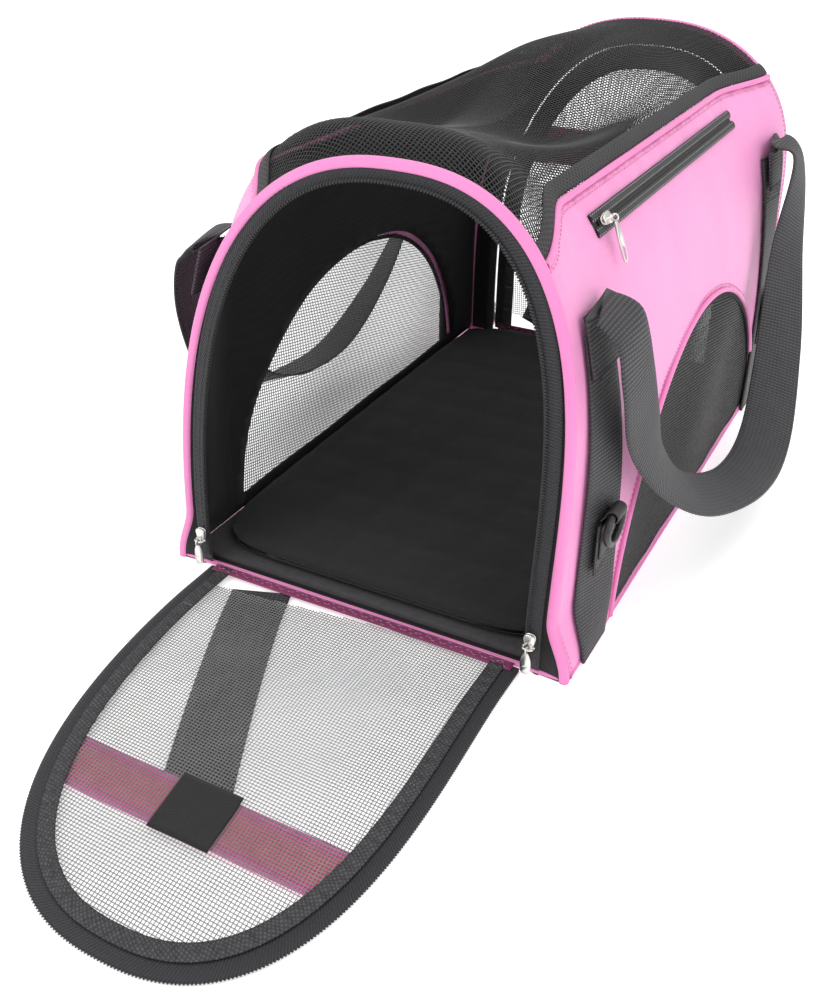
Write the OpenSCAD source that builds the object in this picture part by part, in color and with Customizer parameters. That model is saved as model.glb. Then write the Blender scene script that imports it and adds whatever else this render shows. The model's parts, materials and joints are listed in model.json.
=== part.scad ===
// Soft-sided pet carrier bag. Millimetres, +Z up, origin at the middle of the base.
// The front door faces -Y and lies open flat on the floor; the rear door is closed.
// Walls are layers of one rounded cross-section, carried along Y between two hoops.

/* [Body] */
// Length over the two end panels
body_l = 460; // [400:5:560]
// Width at the base
body_w = 288; // [270:2:340]
// Height of the hoops
body_h = 300; // [294:2:350]
// Height of the seam between a side panel and the top mesh
hem_z = 262; // [255:1:270]

/* [Doors] */
// Width of a door opening at its hinge
door_w = 230; // [190:2:234]
// Height of a door opening above its hinge
door_h = 276; // [230:2:276]
// Height of the hinge seam above the floor
hinge_z = 3; // [3:0.5:5]
// Width of one half of the zip's coil
chain_w = 3; // [2:0.5:4]
// Width of the ribbed tape sewn round a door
tape_w = 10; // [8:1:14]
// Width of the gathered binding inside a door's edge
binding_w = 17; // [12:1:22]
// Distance from the hinge to the near edge of the door's cross band
band_s = 170; // [120:1:190]
// Width of the cross band
band_w = 32; // [25:1:40]
// Side of the square patch on the band
patch_w = 38; // [30:1:50]
// Width of the strap that holds a rolled door
roll_strap_w = 42; // [25:1:50]

/* [Layers] */
// Thickness of the outer nylon
nylon_t = 1.2; // [0.8:0.1:2]
// Thickness of the foam in the side walls
foam_t = 3; // [2:0.5:5]
// Thickness of the lining
lining_t = 0.8; // [0.5:0.1:1.2]
// Thickness of the mesh
mesh_t = 0.6; // [0.4:0.1:1]
// Thickness of the stiff board under the pad
board_t = 3; // [2:0.5:6]
// Thickness of the fleece pad
pad_t = 12; // [8:1:25]

/* [Hoops and piping] */
// Depth of a hoop's piping, across the panel edge
hoop_w = 6; // [5:0.5:8]
// Diameter of the spring wire's square section inside a hoop
wire_w = 2.4; // [1.6:0.2:3]
// Diameter of the piping along the top seams
piping_d = 4; // [3:0.5:5]
// Width of the doubled hem on the top mesh
hem_w = 14; // [10:1:18]

/* [Side windows] */
// Length of a side window at the base
window_l = 340; // [260:5:350]
// Height of a side window
window_h = 152; // [120:2:160]
// Middle of a side window along Y
window_y = 12; // [8:1:14]
// Width of the piping round a window
window_piping_w = 3.5; // [2.5:0.5:5]

/* [Straps and handles] */
// Width of the webbing
web_w = 38; // [30:1:40]
// Thickness of the webbing
web_t = 1.8; // [1.2:0.1:2.5]
// Middle of the front straps along Y
strap_front_y = -192; // [-198:1:-190]
// Middle of the rear straps along Y
strap_rear_y = 190; // [188:1:196]
// Height of the top of the straps
strap_top_z = 214; // [205:1:220]
// Depth of a hanging handle below its stitching
handle_drop = 182; // [140:1:190]
// Angle at which a hanging handle stands off the side
handle_lean = 20; // [18:1:30]

/* [Rings] */
// Wire diameter of a shoulder strap ring
ring_wire_d = 4.6; // [3:0.2:6]
// Width of a ring between wire centres
ring_w = 27; // [20:1:30]
// Length of a ring's straight legs
ring_leg = 6; // [3:1:12]
// Height of the ring's bar in its tab
ring_z = 101; // [90:1:120]
// Running clearance of the bar in its tab
ring_clear = 0.3; // [0.2:0.05:0.5]

/* [Pocket] */
// Height of the pocket's zip
pocket_z = 246; // [236:1:248]
// Front end of the pocket's zip
pocket_y0 = -142; // [-150:1:-130]
// Rear end of the pocket's zip
pocket_y1 = 136; // [120:1:150]
// Depth of the pouch below the zip
pouch_depth = 62; // [40:1:64]

/* [Zip sliders] */
// Width of a slider
slider_w = 8; // [7:0.5:9]
// Length of a slider
slider_l = 11; // [9:0.5:13]
// Thickness of a slider's body
slider_t = 3; // [2.5:0.1:4]
// Diameter of the bail bar that carries the pull
bail_d = 1.6; // [1.2:0.1:2]
// Length of a door slider's pull tab
pull_l = 18; // [14:1:19]
// Length of the pocket slider's pull tab
pocket_pull_l = 26; // [20:1:30]

/* [Hidden] */

$fn = 48;

pink = "#ee86c4";
black = "#222224";
charcoal = "#3a3a3e";
steel = "#c9c9c4";
fleece = "#2b2b2f";

// Exponents of the rounded cross-section, across and up
section_p = 2.4;
section_q = 3.4;
// Steps round half a section
steps = 40;
// Gap left between layers that lie on each other
gap = 0.1;
// Running clearance between bodies that move
clear = 0.3;
// Widest a section can be, for cutting blocks
big = 2 * body_l;

half_w = body_w / 2;
half_l = body_l / 2;
half_door = door_w / 2;
// How far a hoop's piping stands in front of the end panel
hoop_proud = 2;
// Inner end of the hoop, where the side layers stop
layer_l = body_l - 2 * (hoop_w - hoop_proud) - 2 * gap;

// Offsets inward from the outer section, layer by layer
foam_o = nylon_t + gap;
lining_o = foam_o + foam_t + gap;
// Heights of the layers of the floor
floor_lining_z = nylon_t + gap;
board_z = floor_lining_z + lining_t + gap;
pad_z = board_z + board_t + gap;
floor_margin = 3;
board_corner = 12;
pad_corner = 18;

// Thickness of an end panel, and levels of a door's layers from its outer face
border_t = 1.2;
chain_proud = 2.2;
door_chain_t = 2.4;
patch_level = 0.2;
patch_t = 0.7;
band_level = 1;
band_t = 0.7;
door_mesh_level = 1.8;
door_binding_level = 2.5;
door_binding_t = 0.7;
// Clearance between a door's coil and the opening's coil
door_gap = 0.3;
// Distance from the hinge line at which a door starts
door_start = 0.6;

tape_t = 0.8;
coil_w = 5;
coil_t = 1.4;
slit_w = 4;
slit_depth = 10;
// How far the pocket's tape reaches below, above and past the ends of its zip
pocket_tape_below = 8;
pocket_tape_above = 7;
pocket_tape_past = 6;
pouch_t = 1;
pouch_margin = 3;

strap_foot_z = 2;
strap_inner_gap = 0.05;
handle_t = 3;
handle_gap = 4;
handle_root = 4;
hinge_above_strap = 4;
handle_p = 2.6;

tab_w = 14;
tab_pad_w = 22;
tab_pad_t = 1.6;
tab_pad_l = 42;
tab_wall = 2;
ring_stand = 2;

bail_out = 3;
// Distance of a bail's posts from the slider's end
bail_inset = 1;
bail_post_t = 1.2;
pull_w = 7;
pull_t = 1.4;
pull_eye_d = 4.6;
pull_eye_w = 4;
pull_hole_d = 3;
slider_gap = 0.4;
// How far outside the opening's edge a door slider stands
slider_off = 0.5;
slider_foot_z = 20;

// A point of the body's section, at angle a and o inside its outer face
function section_point(a, o) = [
    (half_w - o) * sign(cos(a)) * pow(abs(cos(a)), 2 / section_p),
    (body_h - o) * pow(sin(a), 2 / section_q)
];
// The angle at which the section, o inside, reaches height z
function section_angle(z, o) = asin(pow(z / (body_h - o), section_q / 2));
function section_x(z, o) = section_point(section_angle(z, o), o)[0];
// The outward slope of the section at height z: 0 on a vertical wall, 90 on top
function section_slope(z) = atan2(section_x(z - 1, 0) - section_x(z + 1, 0), 2);
// A band between two offsets, from height z0 to z1 on the +X side
function side_band(o0, o1, z0, z1) = concat(
    [for (i = [0 : steps]) section_point(side_angle(i, z0, z1, o0), o0)],
    [for (i = [steps : -1 : 0]) section_point(side_angle(i, z0, z1, o1), o1)]
);
function side_angle(i, z0, z1, o) =
    section_angle(z0, o) + (section_angle(z1, o) - section_angle(z0, o)) * i / steps;
// A band over the top, from height z on one side to z on the other
function top_band(o0, o1, z) = concat(
    [for (i = [0 : steps]) section_point(over_angle(i, z, o0), o0)],
    [for (i = [steps : -1 : 0]) section_point(over_angle(i, z, o1), o1)]
);
function over_angle(i, z, o) =
    section_angle(z, o) + (180 - 2 * section_angle(z, o)) * i / steps;
// The whole section as one outline, standing on the floor
function full_section(o) = [for (i = [0 : 2 * steps]) section_point(90 * i / steps, o)];
// The outline of a door opening, g outside its edge, measured from the hinge
function door_outline(g) = [
    for (i = [0 : 2 * steps])
        let (a = 90 * i / steps)
        [(half_door + g) * sign(cos(a)) * pow(abs(cos(a)), 2 / section_p),
         (door_h + g) * pow(sin(a), 2 / section_q)]
];
function half_oval(w, h) = [
    for (i = [0 : steps])
        [w * cos(180 * i / steps), h * sin(180 * i / steps)]
];
function u_outline(w, h) = [
    for (i = [0 : 2 * steps])
        let (a = 90 * i / steps)
        [w * sign(cos(a)) * pow(abs(cos(a)), 2 / handle_p), h * pow(sin(a), 2 / handle_p)]
];

// Carries an outline drawn in X and Z along Y
module along_y(y0, y1) {
    translate([0, y1, 0])
        rotate([90, 0, 0])
            linear_extrude(y1 - y0)
                children();
}

// Carries an outline drawn in Y and Z along X
module along_x(x0, x1) {
    translate([x0, 0, 0])
        rotate([90, 0, 90])
            linear_extrude(x1 - x0)
                children();
}

module both_sides() {
    children();
    mirror([1, 0, 0])
        children();
}

module both_ends() {
    children();
    mirror([0, 1, 0])
        children();
}

module side_layer(o0, o1, z0, z1, y0, y1) {
    along_y(y0, y1)
        polygon(side_band(o0, o1, z0, z1));
}

// The block that the side window cuts, g wider than the window all round
module window_block(g) {
    translate([0, window_y, 0])
        along_x(0, big)
            polygon(half_oval(window_l / 2 + g, window_h + g));
}

module side_with_window(o0, o1, z0, z1) {
    difference() {
        side_layer(o0, o1, z0, z1, -layer_l / 2, layer_l / 2);
        window_block(gap);
    }
}

module pocket_slit() {
    a = section_slope(pocket_z);
    translate([section_x(pocket_z, 0), pocket_y0, pocket_z])
        rotate([0, -a, 0])
            translate([-slit_depth / 2, 0, -slit_w / 2])
                cube([slit_depth, pocket_y1 - pocket_y0, slit_w]);
}

module side_panel_right() {
    color(pink)
        difference() {
            side_with_window(0, nylon_t, 0, hem_z);
            pocket_slit();
        }
}

module side_panel_left() {
    color(pink)
        mirror([1, 0, 0])
            side_with_window(0, nylon_t, 0, hem_z);
}

module pouch_block(g) {
    side_layer(foam_o - g, foam_o + pouch_t + g, pocket_z - pouch_depth - g,
        pocket_z + slit_w + g, pocket_y0 - pouch_margin - g, pocket_y1 + pouch_margin + g);
}

module side_foams() {
    color(charcoal) {
        difference() {
            side_with_window(foam_o, foam_o + foam_t, floor_lining_z, hem_z);
            pouch_block(gap / 2);
        }
        mirror([1, 0, 0])
            side_with_window(foam_o, foam_o + foam_t, floor_lining_z, hem_z);
    }
}

module side_linings() {
    color(black)
        both_sides()
            side_with_window(lining_o, lining_o + lining_t, floor_lining_z, hem_z);
}

module window_sheet() {
    color(black)
        intersection() {
            side_layer(gap, gap + mesh_t, floor_lining_z, window_h + 2 * window_piping_w,
                -layer_l / 2, layer_l / 2);
            window_block(0);
        }
}

module side_window_right() {
    window_sheet();
}

module side_window_left() {
    mirror([1, 0, 0])
        window_sheet();
}

module window_pipings() {
    color(pink)
        both_sides()
            difference() {
                intersection() {
                    side_layer(-window_piping_w / 2, -strap_inner_gap, floor_lining_z,
                        window_h + 2 * window_piping_w, -layer_l / 2, layer_l / 2);
                    window_block(window_piping_w);
                }
                window_block(0);
                strap_space();
            }
}

// The room of the straps, for what is sewn under or beside them
module strap_space() {
    for (y = [strap_front_y, strap_rear_y])
        translate([0, y - web_w / 2 - gap, -1])
            cube([big, web_w + 2 * gap, strap_top_z + 2]);
}

module bottom_panel() {
    color(pink)
        translate([-half_w + foam_o, -layer_l / 2, 0])
            cube([body_w - 2 * foam_o, layer_l, nylon_t]);
}

module floor_lining() {
    w = section_x(board_z + lining_t, lining_o + lining_t + gap);
    color(black)
        translate([-w, -layer_l / 2, floor_lining_z])
            cube([2 * w, layer_l, lining_t]);
}

// A slab on the floor with rounded corners, m clear of the lining all round
module floor_slab(z, t, m, r) {
    x = section_x(z + t, lining_o + lining_t) - m - r;
    y = layer_l / 2 - m - r;
    translate([0, 0, z])
        linear_extrude(t)
            union() {
                square([2 * (x + r), 2 * y], center = true);
                square([2 * x, 2 * (y + r)], center = true);
                for (sx = [-1, 1])
                    for (sy = [-1, 1])
                        translate([sx * x, sy * y])
                            circle(r);
            }
}

module base_board() {
    color(charcoal)
        floor_slab(board_z, board_t, floor_margin, board_corner);
}

module base_pad() {
    color(fleece)
        floor_slab(pad_z, pad_t, floor_margin, pad_corner);
}

// Half the gap that the piping takes between the side panel and the top mesh
top_seam = piping_d / 2 + gap;

module top_mesh() {
    color(black)
        along_y(-layer_l / 2, layer_l / 2)
            polygon(top_band(mesh_t + 2 * gap, 2 * mesh_t + 2 * gap, hem_z + 2 * top_seam));
}

module top_hems() {
    hem_top = hem_z + 2 * top_seam + hem_w * cos(section_slope(hem_z));
    color(black)
        both_sides()
            side_layer(0, mesh_t, hem_z + 2 * top_seam, hem_top, -layer_l / 2, layer_l / 2);
}

module top_pipings() {
    z = hem_z + top_seam;
    color(pink)
        both_sides()
            translate([section_x(z, 0) - piping_d / 4, layer_l / 2, z])
                rotate([90, 0, 0])
                    cylinder(h = layer_l, d = piping_d);
}

// The wire's place in a hoop: o0 and o1 inside the section
wire_o = (hoop_w - wire_w) / 2;

module hoop_band(o0, o1, depth) {
    y = half_l + hoop_proud - hoop_w / 2;
    along_y(y - depth / 2, y + depth / 2)
        difference() {
            polygon(full_section(o0));
            polygon(full_section(o1));
        }
}

module hoop_tube() {
    color(pink)
        difference() {
            hoop_band(0, hoop_w, hoop_w);
            intersection() {
                hoop_band(wire_o - gap, wire_o + wire_w + gap, wire_w + 2 * gap);
                translate([-big / 2, -big / 2, hoop_w / 2])
                    cube(big);
            }
        }
}

module rear_hoop_piping() {
    hoop_tube();
}

module front_hoop_piping() {
    mirror([0, 1, 0])
        hoop_tube();
}

module hoop_wires() {
    color(steel)
        both_ends()
            intersection() {
                hoop_band(wire_o, wire_o + wire_w, wire_w);
                translate([-big / 2, -big / 2, hoop_w / 2 + gap])
                    cube(big);
            }
}

// An end panel: the black border between a door opening and its hoop
module end_border() {
    color(black)
        along_y(half_l - border_t, half_l)
            difference() {
                polygon(full_section(hoop_w + gap));
                translate([0, hinge_z])
                    polygon(door_outline(0));
            }
}

module rear_border() {
    end_border();
}

module front_border() {
    mirror([0, 1, 0])
        end_border();
}

module opening_chain() {
    color(charcoal)
        along_y(half_l + gap / 2, half_l + chain_proud)
            translate([0, hinge_z])
                difference() {
                    polygon(door_outline(chain_w));
                    polygon(door_outline(0));
                    translate([-big / 2, -big])
                        square(big);
                }
}

module rear_zip_chain() {
    opening_chain();
}

module front_zip_chain() {
    mirror([0, 1, 0])
        opening_chain();
}

// Door layers are drawn flat, with Y the distance from the hinge and Z the level
module door_ring(g0, g1, level, t) {
    translate([0, 0, level])
        linear_extrude(t)
            difference() {
                polygon(door_outline(-door_gap - g0));
                polygon(door_outline(-door_gap - g1));
                translate([-big / 2, -big + door_start])
                    square(big);
            }
}

module door_field(g, level, t, s0, s1) {
    translate([0, 0, level])
        linear_extrude(t)
            intersection() {
                polygon(door_outline(-door_gap - g));
                translate([-big / 2, s0])
                    square([big, s1 - s0]);
            }
}

module door_mesh() {
    color(black)
        door_field(chain_w + gap, door_mesh_level, mesh_t, door_start, door_h);
}

module door_tape() {
    color(black)
        door_ring(chain_w + gap, chain_w + tape_w, band_level, band_t);
}

module door_chain() {
    color(charcoal)
        door_ring(0, chain_w, 0, door_chain_t);
}

module door_binding() {
    color(black)
        door_ring(chain_w + gap, chain_w + binding_w, door_binding_level, door_binding_t);
}

module door_band() {
    color(pink)
        door_field(chain_w + tape_w + gap, band_level, band_t, band_s, band_s + band_w);
}

module door_patch() {
    color(black)
        translate([-patch_w / 2, band_s + band_w / 2 - patch_w / 2, patch_level])
            cube([patch_w, patch_w, patch_t]);
}

module door_strap() {
    start = tape_w;
    color(black)
        translate([-door_w / 4 - roll_strap_w / 2, start, band_level])
            cube([roll_strap_w, band_s - start - gap, band_t]);
}

// Lays a door open on the floor in front of its hinge
module lay_open() {
    translate([0, -half_l, 0])
        mirror([0, 1, 0])
            children();
}

// Stands a door closed in the rear opening
module stand_closed() {
    translate([0, half_l + hinge_z, hinge_z])
        rotate([90, 0, 0])
            children();
}

module front_door_mesh() {
    lay_open() door_mesh();
}

module front_door_tape() {
    lay_open() door_tape();
}

module front_door_chain() {
    lay_open() door_chain();
}

module front_door_binding() {
    lay_open() door_binding();
}

module front_door_band() {
    lay_open() door_band();
}

module front_door_patch() {
    lay_open() door_patch();
}

module front_door_strap() {
    lay_open() door_strap();
}

module rear_door_mesh() {
    stand_closed() door_mesh();
}

module rear_door_tape() {
    stand_closed() door_tape();
}

module rear_door_chain() {
    stand_closed() door_chain();
}

module rear_door_binding() {
    stand_closed() door_binding();
}

module rear_door_band() {
    stand_closed() door_band();
}

module rear_door_patch() {
    stand_closed() door_patch();
}

module rear_door_strap() {
    stand_closed() door_strap();
}

module pocket_tape() {
    color(black)
        difference() {
            side_layer(-tape_t, -strap_inner_gap,
                pocket_z - pocket_tape_below, pocket_z + pocket_tape_above,
                pocket_y0 - pocket_tape_past, pocket_y1 + pocket_tape_past);
            pocket_slit();
        }
}

// Sets what is drawn with X outward and Z up the slope on the pocket's zip
module on_pocket(y) {
    translate([section_x(pocket_z, 0), y, pocket_z])
        rotate([0, -section_slope(pocket_z), 0])
            children();
}

module pocket_chain() {
    color(charcoal)
        on_pocket(pocket_y0)
            translate([tape_t + gap, 0, -coil_w / 2])
                cube([coil_t, pocket_y1 - pocket_y0, coil_w]);
}

module pocket_pouch() {
    color(black)
        pouch_block(0);
}

module strap_pair() {
    color(black)
        for (y = [strap_front_y, strap_rear_y])
            side_layer(-web_t, -strap_inner_gap, strap_foot_z, strap_top_z,
                y - web_w / 2, y + web_w / 2);
}

module straps_right() {
    strap_pair();
}

module straps_left() {
    mirror([1, 0, 0])
        strap_pair();
}

// The line that a handle turns about
handle_x = section_x(strap_top_z, 0) + web_t + handle_gap;
handle_z = strap_top_z + hinge_above_strap;
handle_mid_y = (strap_front_y + strap_rear_y) / 2;
handle_half = (strap_rear_y - strap_front_y) / 2;

module handle_loop() {
    color(black)
        translate([handle_x, handle_mid_y, handle_z])
            rotate([0, -handle_lean, 0])
                mirror([0, 0, 1])
                    along_x(-handle_t / 2, handle_t / 2)
                        difference() {
                            polygon(u_outline(handle_half + web_w / 2, handle_drop));
                            polygon(u_outline(handle_half - web_w / 2, handle_drop - web_w));
                            translate([0, handle_root / 2])
                                square([big, handle_root + gap], center = true);
                        }
}

module handle_right() {
    handle_loop();
}

module handle_left() {
    mirror([1, 0, 0])
        handle_loop();
}

// A ring hangs beside its strap, its bar along Y in the tab
ring_r = ring_wire_d / 2;
ring_x = half_w + web_t + ring_stand + ring_r;

module ring_tab(y) {
    bore_r = ring_r + ring_clear;
    foot = half_w + web_t + gap;
    color(charcoal)
        difference() {
            union() {
                translate([foot, y - tab_pad_w / 2, ring_z - tab_pad_l])
                    cube([tab_pad_t, tab_pad_w, tab_pad_l - bore_r - tab_wall]);
                translate([foot, y - tab_w / 2, ring_z - bore_r - tab_wall])
                    cube([ring_x - foot, tab_w, 2 * (bore_r + tab_wall)]);
                translate([ring_x, y + tab_w / 2, ring_z])
                    rotate([90, 0, 0])
                        cylinder(h = tab_w, r = bore_r + tab_wall);
            }
            translate([ring_x, y + tab_w, ring_z])
                rotate([90, 0, 0])
                    cylinder(h = 2 * tab_w, r = bore_r);
        }
}

module ring_tabs() {
    for (y = [strap_front_y, strap_rear_y])
        ring_tab(y);
}

module d_ring(y) {
    half = ring_w / 2;
    color(black)
        translate([ring_x, y, ring_z]) {
            translate([0, half, 0])
                rotate([90, 0, 0])
                    cylinder(h = ring_w, r = ring_r);
            for (s = [-1, 1]) {
                translate([0, s * half, 0])
                    sphere(ring_r);
                translate([0, s * half, -ring_leg])
                    cylinder(h = ring_leg, r = ring_r);
            }
            translate([0, 0, -ring_leg])
                rotate([0, 90, 0])
                    rotate([0, 0, -90])
                        rotate_extrude(angle = 180)
                            translate([half, 0])
                                circle(ring_r);
        }
}

module d_ring_front() {
    d_ring(strap_front_y);
}

module d_ring_rear() {
    d_ring(strap_rear_y);
}

// A slider drawn with X outward and Z along its travel, its foot at the origin
module slider() {
    color(steel) {
        translate([0, -slider_w / 2, 0])
            cube([slider_t, slider_w, slider_l]);
        for (s = [-1, 1])
            translate([slider_t - gap, s * (slider_w - bail_post_t) / 2 - bail_post_t / 2, bail_inset])
                cube([bail_out + bail_d / 2 + gap, bail_post_t, 2 * bail_d]);
        translate([bail_x, slider_w / 2 - bail_post_t / 2, bail_z])
            rotate([90, 0, 0])
                cylinder(h = slider_w - bail_post_t, d = bail_d);
    }
}

// A pull tab hanging from the bail, drawn with X outward and -Z along the tab
module pull(l) {
    hole = bail_d + 2 * clear;
    color(steel)
        difference() {
            union() {
                translate([0, pull_eye_w / 2, 0])
                    rotate([90, 0, 0])
                        cylinder(h = pull_eye_w, d = pull_eye_d);
                translate([-pull_t / 2, -pull_eye_w / 2, -pull_eye_d])
                    cube([pull_t, pull_eye_w, pull_eye_d]);
                translate([-pull_t / 2, -pull_w / 2, -l + pull_w / 2])
                    cube([pull_t, pull_w, l - pull_w / 2 - pull_eye_d]);
                translate([-pull_t / 2, 0, -l + pull_w / 2])
                    rotate([0, 90, 0])
                        cylinder(h = pull_t, d = pull_w);
            }
            translate([0, pull_w, 0])
                rotate([90, 0, 0])
                    cylinder(h = 2 * pull_w, d = hole);
            translate([-pull_w, 0, -l + pull_w / 2])
                rotate([0, 90, 0])
                    cylinder(h = 2 * pull_w, d = pull_hole_d);
        }
}

// Distance of the bail's bar from the slider's foot, outward and along
bail_x = slider_t + bail_out;
bail_z = bail_inset + bail_d;
// Outer face of the opening's coil, with the slider's clearance
slider_y = half_l + chain_proud + slider_gap;
slider_side_x = half_door + slider_off + slider_w / 2;

// Puts what is drawn for a slider at one lower corner of the front opening
module at_front_corner(side) {
    translate([side * slider_side_x, -slider_y, slider_foot_z])
        rotate([0, 0, -90])
            children();
}

// Puts what is drawn for a slider at the lower corner where the rear zip ends closed
module at_rear_corner() {
    translate([-slider_side_x, slider_y, slider_foot_z])
        rotate([0, 0, 90])
            children();
}

module front_slider_right() {
    at_front_corner(1) slider();
}

module front_slider_left() {
    at_front_corner(-1) slider();
}

module front_pull_right() {
    at_front_corner(1)
        translate([bail_x, 0, bail_z])
            pull(pull_l);
}

module front_pull_left() {
    at_front_corner(-1)
        translate([bail_x, 0, bail_z])
            pull(pull_l);
}

module rear_slider() {
    at_rear_corner() slider();
}

module rear_pull() {
    at_rear_corner()
        translate([bail_x, 0, bail_z])
            pull(pull_l);
}

// A slider whose bail bar runs along its travel, so that its pull hangs across it
module crosswise_slider() {
    mid = slider_l / 2;
    post = slider_l / 2 - bail_inset;
    color(steel) {
        translate([0, -slider_w / 2, 0])
            cube([slider_t, slider_w, slider_l]);
        for (s = [-1, 1])
            translate([slider_t - gap, -bail_d, mid + s * (post - bail_post_t / 2) - bail_post_t / 2])
                cube([bail_out + bail_d / 2 + gap, 2 * bail_d, bail_post_t]);
        translate([bail_x, 0, mid - post + bail_post_t / 2])
            cylinder(h = 2 * post - bail_post_t, d = bail_d);
    }
}

// Angle at which the pocket's pull droops onto the panel
pocket_pull_droop = 12;
// Height of the pocket slider's foot above the panel
pocket_slider_x = tape_t + gap + coil_t + slider_gap;

module pocket_slider() {
    on_pocket(pocket_y0)
        translate([pocket_slider_x, 0, 0])
            rotate([-90, 0, 0])
                crosswise_slider();
}

module pocket_pull() {
    on_pocket(pocket_y0)
        translate([pocket_slider_x + bail_x, slider_l / 2, 0])
            rotate([0, pocket_pull_droop, 0])
                pull(pocket_pull_l);
}

bottom_panel();
floor_lining();
base_board();
base_pad();
side_panel_right();
side_panel_left();
side_foams();
side_linings();
side_window_right();
side_window_left();
window_pipings();
top_mesh();
top_hems();
top_pipings();
front_hoop_piping();
rear_hoop_piping();
hoop_wires();
front_border();
rear_border();
front_zip_chain();
rear_zip_chain();
pocket_tape();
pocket_chain();
pocket_pouch();
straps_right();
straps_left();
ring_tabs();
front_door_mesh();
front_door_tape();
front_door_chain();
front_door_binding();
front_door_band();
front_door_patch();
front_door_strap();
rear_door_mesh();
rear_door_tape();
rear_door_chain();
rear_door_binding();
rear_door_band();
rear_door_patch();
rear_door_strap();
handle_right();
handle_left();
d_ring_front();
d_ring_rear();
front_slider_right();
front_slider_left();
front_pull_right();
front_pull_left();
rear_slider();
rear_pull();
pocket_slider();
pocket_pull();
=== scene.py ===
import json
import math

import bpy
import numpy as np
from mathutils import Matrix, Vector
from mathutils.geometry import delaunay_2d_cdt


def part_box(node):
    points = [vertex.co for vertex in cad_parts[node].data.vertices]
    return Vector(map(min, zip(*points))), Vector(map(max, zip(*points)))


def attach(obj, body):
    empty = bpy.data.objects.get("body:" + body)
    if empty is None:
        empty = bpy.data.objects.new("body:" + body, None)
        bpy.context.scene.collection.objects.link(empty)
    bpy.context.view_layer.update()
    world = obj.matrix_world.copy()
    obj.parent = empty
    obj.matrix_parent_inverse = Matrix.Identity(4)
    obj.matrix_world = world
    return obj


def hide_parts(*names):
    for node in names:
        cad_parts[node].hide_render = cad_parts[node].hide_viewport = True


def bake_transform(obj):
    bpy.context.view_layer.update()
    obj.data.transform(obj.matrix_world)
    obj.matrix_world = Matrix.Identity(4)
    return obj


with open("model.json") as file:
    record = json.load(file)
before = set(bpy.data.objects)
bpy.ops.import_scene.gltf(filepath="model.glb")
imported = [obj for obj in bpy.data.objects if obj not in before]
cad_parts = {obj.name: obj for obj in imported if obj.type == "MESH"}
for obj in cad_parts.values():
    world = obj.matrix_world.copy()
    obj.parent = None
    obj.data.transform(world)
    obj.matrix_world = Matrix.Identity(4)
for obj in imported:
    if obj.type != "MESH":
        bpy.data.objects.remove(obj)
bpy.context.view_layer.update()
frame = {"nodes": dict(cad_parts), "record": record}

# A soft-sided pet carrier: cloth, nets, zips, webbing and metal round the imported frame. Metres.


def low(node):
    return np.array(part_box(node)[0])


def high(node):
    return np.array(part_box(node)[1])


def joint_place(name):
    found = [j for j in frame["record"]["behaviour"]["joints"] if j["name"] == name]
    return np.array(found[0]["pos_m"])


# Sizes of the frame
HALF_W = high("side_panel_right")[0]
HALF_L = high("rear_border")[1]
LAYER_Y = high("side_panel_right")[1]
BODY_H = high("rear_hoop_piping")[2]
HEM_Z = high("side_panel_right")[2]
HOOP_OUT = high("rear_hoop_piping")[1]
HINGE_Z = joint_place("front_door_hinge")[2]
HALF_DOOR = high("front_door_chain")[0] + 0.0003
DOOR_H = -low("front_door_chain")[1] - HALF_L + 0.0003
WINDOW_Y = (low("side_window_right")[1] + high("side_window_right")[1]) / 2
WINDOW_HALF = (high("side_window_right")[1] - low("side_window_right")[1]) / 2
WINDOW_H = high("side_window_right")[2]
STRAP_TOP = high("straps_right")[2]
RING_FRONT = joint_place("d_ring_front_swing")
RING_REAR = joint_place("d_ring_rear_swing")
STRAP_Y = (RING_FRONT[1], RING_REAR[1])
PAD_LOW, PAD_HIGH = low("base_pad"), high("base_pad")
POCKET_Y0 = joint_place("pocket_pull_flip")[1] - 0.0055
POCKET_Y1 = high("pocket_chain")[1]
POCKET_Z = (low("pocket_chain")[2] + high("pocket_chain")[2]) / 2

# Sizes of the cloth work
SECTION_P, SECTION_Q = 2.4, 3.4
WEB_W, WEB_T = 0.038, 0.0018
HEM_W = 0.010
TAPE_W = 0.010
DOOR_TAPE_W = 0.008
CHAIN_W = 0.003
BINDING_W = 0.0095
BAND_S, BAND_W = 0.170, 0.032
PATCH_W = 0.038
FINE_THREAD = 0.0003
PIPING_R, HOOP_WIRE_R = 0.0021, 0.0012

# Nets: pitch, turn, radius of the thread, longest straight piece of it
WINDOW_NET = 0.0023, math.radians(12), 0.0003, 0.010
TOP_NET = 0.0025, math.radians(30), 0.000325, 0.008
DOOR_NET = 0.00212, math.radians(1.5), 0.00027, 0.012

# How the soft bag stands: the front's lean and draw-in with how far back each reaches, then the
# rear's spread and lean with where they start
LEAN, LEAN_REACH = 0.030, 0.066
SQUEEZE, SQUEEZE_REACH = 0.8, 0.060
REAR_SPREAD, REAR_LEAN, REAR_START = 0.03, 0.016, 0.137


def smooth(t):
    t = np.clip(t, 0, 1)
    return t * t * (3 - 2 * t)


def superellipse(half, height, angle):
    c, s = np.cos(angle), np.sin(angle)
    return np.stack([half * np.sign(c) * np.abs(c) ** (2 / SECTION_P),
                     height * np.abs(s) ** (2 / SECTION_Q)], -1)


def unit(v):
    return v / np.maximum(np.linalg.norm(v, axis=-1, keepdims=True), 1e-12)


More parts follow.
